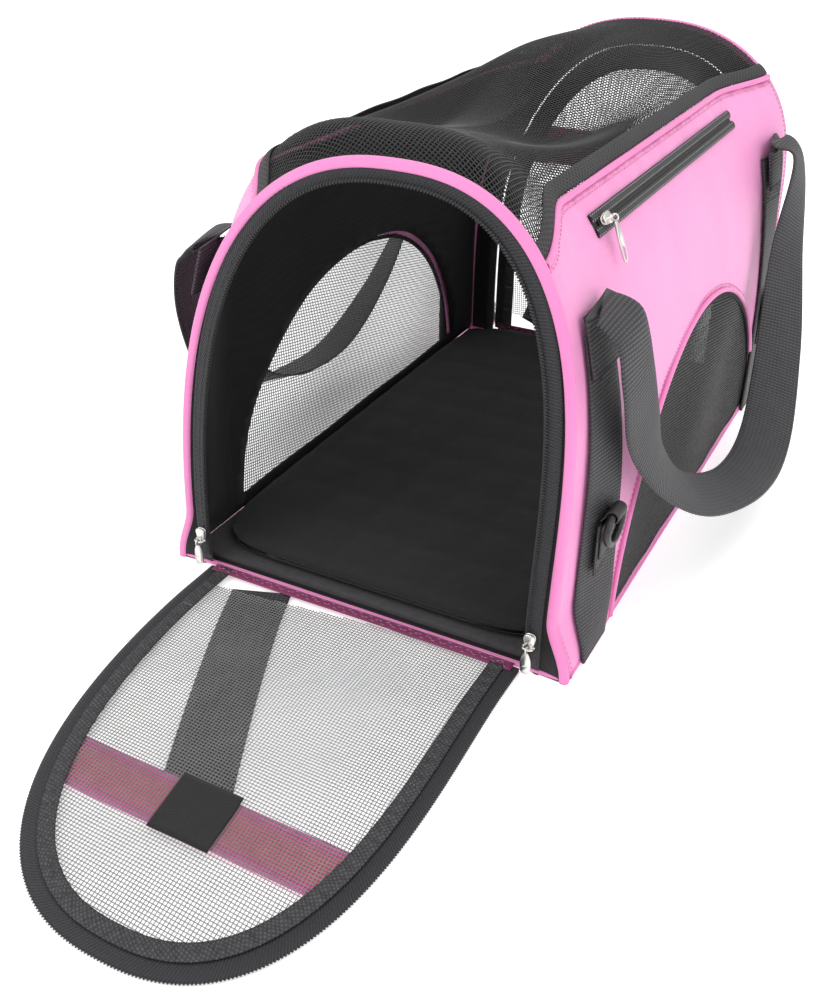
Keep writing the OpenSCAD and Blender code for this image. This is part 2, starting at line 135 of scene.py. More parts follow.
class Outline:
    """A plane curve read by its arc length, with its outward normal on the right of the way."""

    def __init__(self, points):
        self.points = points
        steps = np.linalg.norm(np.diff(points, axis=0), axis=1)
        self.along = np.concatenate([[0], np.cumsum(steps)])
        self.length = self.along[-1]

    def at(self, s):
        return np.stack([np.interp(s, self.along, self.points[:, k]) for k in (0, 1)], -1)

    def normal(self, s):
        step = 0.003
        way = self.at(np.minimum(s + step, self.length)) - self.at(np.maximum(s - step, 0))
        way = unit(way)
        return np.stack([way[..., 1], -way[..., 0]], -1)


def half_turn(half, height, count=1600):
    return Outline(superellipse(half, height, np.linspace(0, math.pi, count)))


BODY = half_turn(HALF_W, BODY_H)
TOP = len(BODY.points) // 2


def round_at(z):
    """The way round the section from the right base edge to height z."""
    return np.interp(z, BODY.points[:TOP, 1], BODY.along[:TOP])


S_HEM = round_at(HEM_Z)


def settle(p):
    """The soft bag as it stands.

    Its front leans right and draws in to the zip, its rear shoulders spread."""
    x, y, z = p[..., 0], p[..., 1], p[..., 2]
    up, power = np.maximum(z - HINGE_Z, 0), 2 / (SECTION_P + SECTION_Q)
    doorway = ((np.abs(x) / (HALF_DOOR + TAPE_W)) ** SECTION_P
               + (up / (DOOR_H + TAPE_W)) ** SECTION_Q) ** power
    skin = ((np.abs(x) / HALF_W) ** SECTION_P
            + (np.maximum(z, 0) / BODY_H) ** SECTION_Q) ** power
    gap = np.where(y < -HALF_L + 0.003, 1 - 1 / np.maximum(doorway, 1),
                   1 / np.maximum(skin, 0.5) - 1 / np.maximum(doorway, 0.5))
    drawn = 1 - SQUEEZE * smooth(1 - (y + HALF_L) / SQUEEZE_REACH) * smooth(z / 0.045) * gap
    x, z = x * drawn, np.where(z > HINGE_Z, HINGE_Z + up * drawn, z)
    front = smooth(1 - (y + HALF_L) / LEAN_REACH)
    rear = smooth((y - REAR_START) / (HALF_L - REAR_START)) * smooth((z - 0.13) / 0.14)
    shift = LEAN * np.clip((z - 0.035) / 0.265, 0, 1.1) ** 1.5 * front + REAR_LEAN * rear
    return np.stack([x * (1 + REAR_SPREAD * rear) + shift, y, z], -1)


def wall(s, y, out=0.0):
    """A point of the bag's skin: s round the section, y along the bag, out from the skin."""
    s, y, out = np.broadcast_arrays(np.asarray(s, float), np.asarray(y, float), out)
    flat = BODY.at(s) + out[..., None] * BODY.normal(s)
    return settle(np.stack([flat[..., 0], y, flat[..., 1]], -1))


def wall_out(s, y):
    """The skin's outward normal, taken from its two directions."""
    step = 0.002
    return unit(np.cross(wall(s, np.add(y, step)) - wall(s, np.subtract(y, step)),
                         wall(np.add(s, step), y) - wall(np.subtract(s, step), y)))


def side_s(side, s):
    """The same way round, measured up from the base edge of the right or left side."""
    return s if side > 0 else BODY.length - s


def door_point(end, x, s, level):
    """A door's point: x across, s from the hinge, level from the outer face.

    The front door lies open, the rear one stands."""
    x, s, level = np.broadcast_arrays(np.asarray(x, float), np.asarray(s, float), level)
    closed = settle(np.stack([x, end * (HALF_L + HINGE_Z - level), HINGE_Z + s], -1))
    if end > 0:
        return closed
    return np.stack([closed[..., 0], -HALF_L - (closed[..., 2] - HINGE_Z),
                     HINGE_Z + closed[..., 1] + HALF_L], -1)


# ---------------------------------------------------------------- meshes

class Cloth:
    """Gathers vertices, faces and texture coordinates in metres for one piece."""

    def __init__(self):
        self.points, self.faces, self.uvs = [], [], []
        self.count = 0

    def add(self, points, faces, uvs=None):
        points = np.asarray(points, float).reshape(-1, 3)
        faces = np.asarray(faces) + self.count if isinstance(faces, np.ndarray) else \
            [tuple(i + self.count for i in f) for f in faces]
        self.points.append(points)
        self.faces.extend(map(tuple, faces))
        self.uvs.append(np.zeros((len(points), 2)) if uvs is None else np.asarray(uvs).reshape(-1, 2))
        self.count += len(points)
        return self

    def piece(self, name, material, body=None, slot=None, replaces=()):
        mesh = bpy.data.meshes.new(name)
        faces = [tuple(map(int, f)) for f in self.faces]
        mesh.from_pydata(np.concatenate(self.points).tolist(), [], faces)
        layer = mesh.uv_layers.new(name="metres")
        corner = np.zeros(len(mesh.loops), np.int32)
        mesh.loops.foreach_get("vertex_index", corner)
        layer.data.foreach_set("uv", np.concatenate(self.uvs)[corner].astype(np.float32).ravel())
        mesh.polygons.foreach_set("use_smooth", np.full(len(mesh.polygons), True))
        mesh.materials.append(material)
        obj = bpy.data.objects.new(name, mesh)
        bpy.context.collection.objects.link(obj)
        if replaces:
            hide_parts(*replaces)
        if body:
            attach(obj, body)
        return obj


def grid_faces(rows, columns, flip=False, ring=False):
    """Four-sided faces over rows and columns of points; a ring joins its last column to its first."""
    i, j = np.meshgrid(np.arange(rows - 1), np.arange(columns if ring else columns - 1), indexing="ij")
    k = (j + 1) % columns
    quads = [i * columns + j, (i + 1) * columns + j, (i + 1) * columns + k, i * columns + k]
    return np.stack(quads[::-1] if flip else quads, -1).reshape(-1, 4)


def thicken(obj, thickness):
    solid = obj.modifiers.new("thickness", "SOLIDIFY")
    solid.thickness, solid.offset = thickness, 0.0
    solid.use_even_offset = False
    return obj


def sweep(cloth, path, up, profile, closed=False):
    """Carries a closed profile of (across, up) points along a path."""
    path = np.asarray(path, float)
    up = np.broadcast_to(np.asarray(up, float), path.shape)
    if closed:
        way = np.roll(path, -1, 0) - np.roll(path, 1, 0)
    else:
        way = np.gradient(path, axis=0)
    way = unit(way)
    across = unit(np.cross(way, up))
    true_up = np.cross(across, way)
    profile = np.asarray(profile, float)
    n, m = len(path), len(profile)
    points = (path[:, None] + profile[None, :, 0, None] * across[:, None]
              + profile[None, :, 1, None] * true_up[:, None])
    along = np.concatenate([[0], np.cumsum(np.linalg.norm(np.diff(path, axis=0), axis=1))])
    uvs = np.stack(np.broadcast_arrays(along[:, None], profile[None, :, 0]), -1)
    faces = grid_faces(n, m, flip=True, ring=True).tolist()
    if closed:
        faces += [((n - 1) * m + (j + 1) % m, (j + 1) % m, j, (n - 1) * m + j) for j in range(m)]
    else:
        faces += [tuple(range(m)), tuple(range(n * m - 1, (n - 1) * m - 1, -1))]
    return cloth.add(points, faces, uvs)


def circle(radius, sides=8):
    a = np.linspace(0, 2 * math.pi, sides, endpoint=False)
    return np.stack([radius * np.cos(a), radius * np.sin(a)], -1)


def strap_profile(width, thickness, columns=8, crown=0.0):
    """A flat band's rounded outline, anticlockwise from its right edge."""
    half, t = width / 2 - thickness / 2, thickness / 2
    x = np.linspace(half, -half, columns)
    lift = crown * (1 - (x / half) ** 2)
    top = np.stack([x, t + lift], -1)
    bottom = np.stack([x[::-1], -t + lift[::-1]], -1)
    return np.concatenate([[[half + t, 0]], top, [[-half - t, 0]], bottom])


def along_path(path, step):
    """The path again, with points about step apart."""
    path = np.asarray(path, float)
    at = np.concatenate([[0], np.cumsum(np.linalg.norm(np.diff(path, axis=0), axis=1))])
    t = np.linspace(0, at[-1], max(3, math.ceil(at[-1] / step) + 1))
    return np.stack([np.interp(t, at, path[:, k]) for k in range(path.shape[1])], -1)


def spline(points, step):
    """A smooth path through given points, Catmull-Rom, about step apart."""
    p = np.asarray(points, float)
    p = np.concatenate([[2 * p[0] - p[1]], p, [2 * p[-1] - p[-2]]])
    rows = []
    t = np.linspace(0, 1, 12, endpoint=False)[:, None]
    for a, b, c, d in zip(p[:-3], p[1:-2], p[2:-1], p[3:]):
        rows.append(0.5 * (2 * b + (c - a) * t + (2 * a - 5 * b + 4 * c - d) * t ** 2
                           + (3 * b - a - 3 * c + d) * t ** 3))
    return along_path(np.concatenate(rows + [p[-2:-1]]), step)


def stitches(cloth, path, up, length=0.0024, pitch=0.0036, radius=0.00035):
    """A row of stitches, each a small lozenge of thread lying on the cloth."""
    fine = along_path(path, pitch)
    up = np.broadcast_to(np.asarray(up, float), np.shape(path))
    index = np.linspace(0, len(path) - 1, len(fine))
    ups = np.stack([np.interp(index, np.arange(len(path)), up[:, k]) for k in range(3)], -1)
    way = unit(np.gradient(fine, axis=0))
    across = unit(np.cross(way, ups))
    for p, w, a, u in zip(fine, way, across, unit(ups)):
        ends = [p - w * length / 2, p + w * length / 2]
        ring = [p + a * radius, p + u * radius, p - a * radius, p - u * radius]
        faces = [(0, 2 + k, 2 + (k + 1) % 4) for k in range(4)]
        faces += [(1, 2 + (k + 1) % 4, 2 + k) for k in range(4)]
        cloth.add(ends + ring, faces, np.zeros((6, 2)))
    return cloth


def coil(cloth, path, up, width=CHAIN_W, height=0.0016, pitch=0.0019, radius=0.00042):
    """One half of a nylon zip's coil: a flattened helix along the path."""
    per_turn = 8
    path = np.asarray(path, float)
    length = np.linalg.norm(np.diff(path, axis=0), axis=1).sum()
    turns = int(length / pitch)
    index = np.linspace(0, len(path) - 1, turns * per_turn + 1)
    spot = np.arange(len(path))
    middle = np.stack([np.interp(index, spot, path[:, k]) for k in range(3)], -1)
    up = np.broadcast_to(np.asarray(up, float), path.shape)
    ups = unit(np.stack([np.interp(index, spot, up[:, k]) for k in range(3)], -1))
    way = unit(np.gradient(middle, axis=0))
    across = unit(np.cross(way, ups))
    phase = 2 * math.pi * np.arange(len(index)) / per_turn
    points = (middle + across * (width / 2 - radius) * np.cos(phase)[:, None]
              + ups * (height / 2 - radius) * np.sin(phase)[:, None])
    return sweep(cloth, points, way, circle(radius, 5))


def net(cloth, place, inside, box, pitch, turn, radius, step):
    """A woven net: two families of straight threads on a surface, cut to its outline.

    place(u, v, out) gives points, inside(u, v) says where cloth is, box is (u0, v0, u1, v1)."""
    middle = np.array([(box[0] + box[2]) / 2, (box[1] + box[3]) / 2])
    reach = math.hypot(box[2] - box[0], box[3] - box[1]) / 2
    t = np.arange(-reach, reach, 0.0008)
    half = radius / math.sqrt(2)
    profile = [(half, half), (-half, half), (-half, -half), (half, -half)]
    for family in (0, 1):
        angle = turn + family * math.pi / 2
        way = np.array([math.cos(angle), math.sin(angle)])
        side = np.array([-way[1], way[0]])
        lift = (family - 0.5) * radius * 0.6
        for offset in np.arange(-reach, reach, pitch):
            uv = middle + side * offset + t[:, None] * way
            ok = inside(uv[:, 0], uv[:, 1])
            ends = np.flatnonzero(np.diff(np.concatenate([[0], ok.astype(int), [0]])))
            for a, b in zip(ends[::2], ends[1::2] - 1):
                if b - a < 2:
                    continue
                run = np.linspace(t[a], t[b], max(2, math.ceil((t[b] - t[a]) / step) + 1))
                line = middle + side * offset + run[:, None] * way
                path = place(line[:, 0], line[:, 1], lift)
                up = place(line[:, 0], line[:, 1], lift + 0.001) - path
                sweep(cloth, path, up, profile)
    return cloth


def inside_polygon(polygon, x, y):
    """Whether points lie in a closed outline, by counting crossings."""
    found = np.zeros(np.shape(x), bool)
    for (x0, y0), (x1, y1) in zip(polygon, np.roll(polygon, -1, 0)):
        if y0 == y1:
            continue
        crosses = (y0 > y) != (y1 > y)
        found ^= crosses & (x < (x1 - x0) * (y - y0) / (y1 - y0) + x0)
    return found


def cut_cloth(outer, holes, spacing):
    """Fills a flat outline, less its holes, with near-even triangles: (points, faces)."""
    loops = [along_path(np.concatenate([loop, loop[:1]]), spacing)[:-1] for loop in [outer, *holes]]
    edge = np.concatenate(loops)
    lo, hi = edge.min(0), edge.max(0)
    u, v = np.meshgrid(np.arange(lo[0], hi[0], spacing), np.arange(lo[1], hi[1], spacing))
    u = u + (np.arange(len(u)) % 2)[:, None] * spacing / 2
    fill = np.stack([u.ravel(), v.ravel()], -1)
    keep = inside_polygon(loops[0], fill[:, 0], fill[:, 1])
    for loop in loops[1:]:
        keep &= ~inside_polygon(loop, fill[:, 0], fill[:, 1])
    fill = fill[keep]
    near = np.min(np.linalg.norm(fill[:, None] - edge[None], axis=2), axis=1)
    fill = fill[near > 0.55 * spacing]
    edges, start = [], 0
    for loop in loops:
        n = len(loop)
        edges += [(start + i, start + (i + 1) % n) for i in range(n)]
        start += n
    points = [Vector(p) for p in np.concatenate([edge, fill])]
    made, _, faces, _, _, _ = delaunay_2d_cdt(points, edges, [], 0, 1e-7)
    made = np.array([tuple(p) for p in made])
    faces = np.array([f for f in faces if len(f) == 3])
    centre = made[faces].mean(1)
    keep = inside_polygon(loops[0], centre[:, 0], centre[:, 1])
    for loop in loops[1:]:
        keep &= ~inside_polygon(loop, centre[:, 0], centre[:, 1])
    return made, faces[keep]


# ---------------------------------------------------------------- materials

class Shade:
    """A material's node tree, made by short calls."""

    def __init__(self, name, roughness=0.6, **plain):
        self.material = bpy.data.materials.new(name)
        self.material.use_nodes = True
        self.tree = self.material.node_tree
        self.shader = self.tree.nodes["Principled BSDF"]
        self.shader.inputs["Roughness"].default_value = roughness
        for socket, value in plain.items():
            self.shader.inputs[socket.replace("_", " ")].default_value = value

    def node(self, kind, settings=None, **inputs):
        made = self.tree.nodes.new(kind)
        for key, value in (settings or {}).items():
            setattr(made, key, value)
        for key, value in inputs.items():
            socket = made.inputs[int(key[1:])] if key[0] == "i" and key[1:].isdigit() else \
                made.inputs[key.replace("_", " ")]
            if isinstance(value, bpy.types.NodeSocket):
                self.tree.links.new(value, socket)
            else:
                socket.default_value = value
        return made

    def metres(self):
        """The piece's own cloth coordinates: along and across, in metres."""
        return self.node("ShaderNodeUVMap", {"uv_map": "metres"}).outputs["UV"]

    def place(self):
        return self.node("ShaderNodeTexCoord").outputs["Object"]

    def math(self, operation, a, b=0.0):
        return self.node("ShaderNodeMath", {"operation": operation}, i0=a, i1=b).outputs[0]

    def scaled(self, value, times, plus):
        """The value times one number, plus another."""
        made = self.node("ShaderNodeMath", {"operation": "MULTIPLY_ADD"}, i0=value, i1=times, i2=plus)
        return made.outputs[0]

    def weave(self, pitch, vector=None):
        """Threads crossing at right angles, on the piece or on the given coordinates."""
        at = vector or self.place()
        return self.math("MULTIPLY", self.wave(at, 0.0, pitch), self.wave(at, math.pi / 2, pitch))

    def noise(self, scale, vector=None, detail=3.0, stretch=None):
        vector = vector or self.place()
        if stretch:
            vector = self.node("ShaderNodeMapping", Vector=vector, Scale=stretch).outputs[0]
        made = self.node("ShaderNodeTexNoise", Vector=vector, Scale=scale, Detail=detail)
        return made.outputs["Fac"]

    def wave(self, vector, angle, pitch, sharp=0.0):
        """Ribs of a given pitch in metres, at an angle to the cloth's length, from 0 to 1."""
        split = self.node("ShaderNodeSeparateXYZ", Vector=vector).outputs
        u = self.math("MULTIPLY", split[0], 2 * math.pi * math.cos(angle) / pitch)
        v = self.math("MULTIPLY", split[1], 2 * math.pi * math.sin(angle) / pitch)
        wave = self.math("SINE", self.math("ADD", u, v))
        wave = self.scaled(wave, 0.5, 0.5)
        return self.math("POWER", wave, 1 + sharp) if sharp else wave

    def mix(self, factor, a, b):
        made = self.node("ShaderNodeMix", {"data_type": "RGBA"})
        for index, value in ((0, factor), (6, a), (7, b)):
            if isinstance(value, bpy.types.NodeSocket):
                self.tree.links.new(value, made.inputs[index])
            else:
                made.inputs[index].default_value = value
        return made.outputs[2]

    def colour(self, value):
        self.tree.links.new(value, self.shader.inputs["Base Color"])
        return self

    def rough(self, value):
        self.tree.links.new(value, self.shader.inputs["Roughness"])
        return self

    def bump(self, *layers):
        """Adds bumps, each (height, distance in metres, strength)."""
        normal = None
        for height, distance, strength in layers:
            made = self.node("ShaderNodeBump", Height=height, Distance=distance, Strength=strength)
            if normal:
                self.tree.links.new(normal, made.inputs["Normal"])
            normal = made.outputs[0]
        self.tree.links.new(normal, self.shader.inputs["Normal"])
        return self.material


def rgb(red, green, blue):
    """A colour as a screen shows it, 0 to 255, made linear."""
    return tuple(((c / 255 + 0.055) / 1.055) ** 2.4 if c > 10 else c / 255 / 12.92
                 for c in (red, green, blue)) + (1.0,)


def tint(tone, red=1.0, green=1.0, blue=1.0):
    """A linear grey tone with a slight cast."""
    return (tone * red, tone * green, tone * blue, 1.0)


def nylon(name, light, deep, sheen=0.25):
    """Woven nylon: fine weave, soft creases, uneven tone."""
    m = Shade(name, 0.5, Sheen_Weight=sheen, Sheen_Roughness=0.4, Specular_IOR_Level=0.35)
    weave = m.weave(0.0007)
    tone = m.noise(9.0, detail=4.0)
    fine = m.noise(900.0, detail=2.0)
    base = m.mix(m.scaled(tone, 1.3, -0.15), light, deep)
    m.colour(m.mix(m.math("MULTIPLY", fine, 0.22), base, deep))
    m.rough(m.scaled(fine, 0.2, 0.42))
    return m.bump((weave, 0.0002, 0.35), (m.noise(60.0, detail=4.0), 0.002, 0.25),
                  (fine, 0.0002, 0.3))


def dark_cloth(name, tone=0.006, rough=0.85):
    m = Shade(name, rough, Sheen_Weight=0.05, Specular_IOR_Level=0.25)
    weave = m.weave(0.0011)
    m.colour(m.mix(m.noise(35.0), tint(tone, blue=1.05), tint(tone, 2.2, 2.1, 2.3)))
    return m.bump((weave, 0.0003, 0.4), (m.noise(50.0), 0.002, 0.3))


def thread_material(name, tone, spread=0.5, rough=0.5, colour=(1, 1, 1)):
    m = Shade(name, rough, Specular_IOR_Level=0.5)
    m.colour(m.mix(m.noise(120.0), tint(tone, *colour), tint(tone * (1 + spread), *colour)))
    m.rough(m.scaled(m.noise(300.0), 0.2, rough - 0.1))
    return m.bump((m.noise(2500.0), 0.0001, 0.4))


def ribbed(name, pitch, angle, dark, light, depth=0.0004, cross=None, sheen=0.1):
    """Ribbed tape or webbing, its ribs at an angle to its length."""
    m = Shade(name, 0.62, Sheen_Weight=sheen, Sheen_Roughness=0.45)
    rib = m.wave(m.metres(), angle, pitch, 0.6)
    if cross:
        rib = m.math("MULTIPLY", rib, m.scaled(m.wave(m.metres(), *cross), 0.6, 0.4))
    worn = m.noise(70.0, detail=4.0)
    base = m.mix(rib, dark, light)
    m.colour(m.mix(m.math("MULTIPLY", worn, 0.35), base, light))
    return m.bump((rib, depth, 0.9), (m.noise(1500.0), 0.00015, 0.4))


def hem_material():
    """Doubled mesh: dark diamonds in lighter threads."""
    m = Shade("doubled_mesh", 0.6)
    a = m.wave(m.metres(), math.radians(52), 0.0026, 1.0)
    b = m.wave(m.metres(), math.radians(-52), 0.0026, 1.0)
    cross = m.math("MAXIMUM", a, b)
    m.colour(m.mix(cross, rgb(6, 6, 7), rgb(52, 51, 54)))
    return m.bump((cross, 0.0005, 0.8))


def binding_material():
    """Gathered mesh: crinkles and a fine blotchy net."""
    m = Shade("gathered_mesh", 0.7)
    cross = m.math("MULTIPLY", m.wave(m.metres(), 0.5, 0.0021), m.wave(m.metres(), -0.9, 0.0019))
    blotch = m.math("MULTIPLY", m.noise(420.0, detail=5.0), m.math("ADD", cross, 0.35))
    m.colour(m.mix(blotch, rgb(8, 8, 9), rgb(100, 99, 103)))
    return m.bump((blotch, 0.0007, 0.9))


def band_material():
    """Pink ribbon in three tones: bright edges and a coral middle."""
    m = Shade("pink_ribbon", 0.6, Sheen_Weight=0.2)
    split = m.node("ShaderNodeSeparateXYZ", Vector=m.metres()).outputs
    edge = m.math("DIVIDE", m.math("ABSOLUTE", split[1]), BAND_W / 2)
    ramp = m.node("ShaderNodeValToRGB", Fac=edge)
    stops = ramp.color_ramp.elements
    stops[0].color, stops[1].color = rgb(216, 104, 128), rgb(240, 128, 194)
    for place, colour in ((0.55, rgb(224, 108, 140)), (0.72, rgb(226, 84, 158))):
        stops.new(place).color = colour
    weave = m.weave(0.0012, m.metres())
    m.colour(m.mix(m.math("MULTIPLY", weave, 0.5), ramp.outputs[0], rgb(120, 30, 66)))
    return m.bump((weave, 0.0004, 0.6), (m.noise(200.0), 0.0006, 0.3))


def metal(name, colour, rough):
    m = Shade(name, rough, Metallic=1.0)
    m.colour(m.mix(m.noise(160.0), colour, tuple(0.82 * c for c in colour[:3]) + (1,)))
    scratch = m.noise(500.0, stretch=(1, 1, 6))
    m.rough(m.scaled(scratch, 0.25, rough - 0.08))
    return m.bump((m.noise(90.0, detail=2.0), 0.0004, 0.25), (scratch, 0.0001, 0.2))


def coated(name, tone, rough, scale=700.0, depth=0.0002):
    """Dark satin coat, leather or plastic with a fine grain."""
    m = Shade(name, rough)
    grain = m.node("ShaderNodeTexVoronoi", Vector=m.place(), Scale=scale).outputs["Distance"]
    m.colour(m.mix(m.noise(200.0), tint(tone, blue=1.04), tint(tone, 2, 1.9, 2)))
    return m.bump((grain, depth, 0.5))


def pile_material(name, tone):
    """Short pile or hook and loop: a dense fuzz of dark and lighter specks."""
    m = Shade(name, 0.95, Sheen_Weight=0.08)
    fuzz = m.noise(1600.0, detail=5.0)
    m.colour(m.mix(fuzz, tint(tone, 0.5, 0.5, 0.5), tint(tone, 2.2, 2.2, 2.3)))
    return m.bump((fuzz, 0.0008, 0.8), (m.noise(90.0), 0.002, 0.3))


PINK = nylon("pink_nylon", rgb(240, 160, 208), rgb(233, 141, 195))
PINK_PIPING = nylon("pink_piping", rgb(236, 146, 199), rgb(226, 122, 182), sheen=0.15)
LINING = dark_cloth("black_lining")
MESH = thread_material("mesh_thread", 0.013, 0.8, 0.4)
# Painted light: the door nets are the same black mesh as the other nets, but their threads get a much
# lighter grey that stands in for the bright floor light around and behind them.
DOOR_THREAD_PAINTED_LIGHT = thread_material("door_thread", 0.17, 0.8, 0.4)
HEM = hem_material()
BINDING = binding_material()
TAPE = ribbed("zip_tape", 0.0016, math.radians(32), rgb(8, 8, 10), rgb(46, 47, 53))
POCKET_TAPE = ribbed("pocket_tape", 0.0012, math.radians(12), rgb(10, 10, 11), rgb(42, 42, 45),
                     depth=0.0003)
COIL = thread_material("zip_coil", 0.016, 1.0, 0.35)
WEBBING = ribbed("webbing", 0.0024, math.radians(4), rgb(6, 6, 7), rgb(78, 77, 81), depth=0.0006,
                 cross=(math.radians(90), 0.0030), sheen=0.05)
BAND = band_material()
SEAM_PINK = nylon("seam_tape", rgb(150, 62, 110), rgb(96, 30, 66))
PATCH = pile_material("hook_patch", 0.010)
PAD = pile_material("pad_pile", 0.007)
METAL = metal("zip_metal", (0.80, 0.79, 0.75, 1), 0.28)
STEEL = metal("spring_steel", (0.55, 0.55, 0.56, 1), 0.4)
RING = coated("black_ring", 0.012, 0.35)
LEATHER = coated("tab_leather", 0.02, 0.55, scale=900.0, depth=0.0004)
BOARD = coated("board", 0.04, 0.7, scale=300.0)
STITCH = thread_material("grey_stitch", 0.42, 0.3, 0.6)
DARK_STITCH = thread_material("black_stitch", 0.03, 0.6, 0.5)
PINK_STITCH = thread_material("pink_stitch", 0.5, 0.3, 0.6, colour=(1, 0.42, 0.7))


# ---------------------------------------------------------------- the bag's cloth

def window_outline(grow=0.0, count=96):
    """The window's half-oval as (round, along) points, closed by its straight base."""
    a = np.linspace(0, math.pi, count)
    z = np.maximum((WINDOW_H + grow) * np.sin(a), 0.0)
    return np.stack([round_at(z), WINDOW_Y + (WINDOW_HALF + grow) * np.cos(a)], -1)


def pucker(s, y, side):
    """Soft creases of the side panels: small, uneven, strongest near the seams."""
    waves = (0.9 * np.sin(37 * y + 55 * s + side) + 0.7 * np.sin(83 * y - 31 * s + 2.1)
             + 0.6 * np.sin(61 * s + 19 * y * side + 0.7) + 0.5 * np.sin(140 * y + 22 * s))
    seam = smooth(1 - (S_HEM - s) / 0.03)
    return 0.00032 * waves - 0.0007 + 0.0004 * seam * np.sin(260 * y)


def panel_outline(bottom=0.0):
    """The outline of one side panel as (round, along)."""
    return np.array([[bottom, -LAYER_Y], [S_HEM, -LAYER_Y], [S_HEM, LAYER_Y], [bottom, LAYER_Y]])


def side_panel(side, name):
    """The pink side panel with its half-oval window cut out down to the base seam."""
    rim = 0.006
    window = window_outline(0.0005)
    window[:, 0] = np.maximum(window[:, 0], rim)
    window = window[(window[:, 0] > rim) | (np.abs(window[:, 1] - WINDOW_Y) > WINDOW_HALF * 0.99)]
    points, faces = cut_cloth(panel_outline(), [window], 0.005)
    s, y = points[:, 0], points[:, 1]
    if side < 0:
        faces = faces[:, ::-1]
    cloth = Cloth().add(wall(side_s(side, s), y, pucker(s, y, side)), faces, points)
    obj = cloth.piece(name, PINK, "bag", "pink_nylon", [f"side_panel_{name.split('_')[-1]}"])
    thicken(obj, 0.0006)
    return obj


def side_lining(side, name, replaces):
    """The black lining over its foam, cut back round the window."""
    window = window_outline(0.004)
    window[:, 0] = np.maximum(window[:, 0], 0.012)
    points, faces = cut_cloth(panel_outline(0.004), [window], 0.008)
    s, y = points[:, 0], points[:, 1]
    if side < 0:
        faces = faces[:, ::-1]
    depth = -0.0045 + 0.0006 * np.sin(45 * y + 30 * s)
    obj = Cloth().add(wall(side_s(side, s), y, depth), faces, points)
    obj = obj.piece(name, LINING, "bag", "black_lining", replaces)
    thicken(obj, 0.0032)


def side_window(side, name):
    """The window's fine net, a little slack, on its half-oval."""
    edge = window_outline(0.001)

    def place(s, y, out):
        bag = 0.0016 * np.sin(32 * y + 1) * np.sin(28 * s)
        return wall(side_s(side, s), y, -0.0012 + out * side + bag)

    cloth = Cloth()
    box = (0.0, WINDOW_Y - WINDOW_HALF, round_at(WINDOW_H), WINDOW_Y + WINDOW_HALF)
    net(cloth, place, lambda s, y: inside_polygon(edge, s, y), box, *WINDOW_NET)
    obj = cloth.piece("window_net_" + name.split("_")[-1], MESH, "bag", "black_mesh", [name])


def clear_of_straps(y):
    """Where along the bag the piping is not under a strap."""
    return np.min(np.abs(np.asarray(y)[:, None] - np.array(STRAP_Y)), axis=1) > WEB_W / 2


def runs_of(mask):
    """The unbroken stretches of a mask, each as its start and end."""
    ends = np.flatnonzero(np.diff(np.concatenate([[0], mask.astype(int), [0]])))
    return [(a, b) for a, b in zip(ends[::2], ends[1::2]) if b - a > 3]


def window_trim():
    """Pink piping round each window, with a dark binding inside it and stitches outside."""
    piping, binding, thread = Cloth(), Cloth(), Cloth()
    for side in (1, -1):
        ring = window_outline(0.0016, 260)
        for a, b in runs_of(clear_of_straps(ring[:, 1]) & (ring[:, 0] > 0.002)):
            s, y = side_s(side, ring[a:b, 0]), ring[a:b, 1]
            sweep(piping, wall(s, y, 0.0006), wall_out(s, y), circle(0.0018, 10))
        ring = window_outline(-0.0017, 260)
        ring = ring[ring[:, 0] > 0.001]
        s, y = side_s(side, ring[:, 0]), ring[:, 1]
        sweep(binding, wall(s, y, -0.0002), wall_out(s, y), strap_profile(0.0034, 0.0012, 4))
        ring = window_outline(0.0056, 260)
        for a, b in runs_of(clear_of_straps(ring[:, 1]) & (ring[:, 0] > 0.01)):
            s, y = ring[a:b, 0], ring[a:b, 1]
            out = pucker(s, y, side) + 0.0006
            stitches(thread, wall(side_s(side, s), y, out), wall_out(side_s(side, s), y))
    piping.piece("window_piping_cover", PINK_PIPING, "bag", "pink_piping", ["window_pipings"])
    binding.piece("window_binding", LINING, "bag", "black_lining")
    thread.piece("window_stitches", PINK_STITCH, "bag", "pink_piping")


def top_drop(across, y):
    """How far the slack top mesh hangs below its hoops; across is 0 at a hem, 1 at the apex."""
    along = (y + HALF_L) / (2 * HALF_L)
    rise = 0.007 * np.exp(-((along - 0.07) / 0.06) ** 2)
    dip = -0.030 * np.exp(-((along - 0.45) / 0.24) ** 2)
    fold = 0.004 * np.sin(9 * along + 3 * across) * np.sin(math.pi * along)
    edge = smooth(along / 0.05) * smooth((1 - along) / 0.05)
    return (rise + dip + fold) * edge * smooth(across * 1.6)


def top_mesh():
    """The slack net over the top, on the bias, between the two hems and the hoops."""
    start, end = S_HEM + 0.004, BODY.length - S_HEM - 0.004
    half = (end - start) / 2

    def place(s, y, out):
        across = 1 - np.abs(s - start - half) / half
        p = wall(s, y, -0.001 + out)
        p[..., 2] += top_drop(across, y)
        return p

    def inside(s, y):
        return (s > start) & (s < end) & (np.abs(y) < LAYER_Y)

    cloth = Cloth()
    net(cloth, place, inside, (start, -LAYER_Y, end, LAYER_Y), *TOP_NET)
    obj = cloth.piece("top_net", MESH, "bag", "black_mesh", ["top_mesh"])


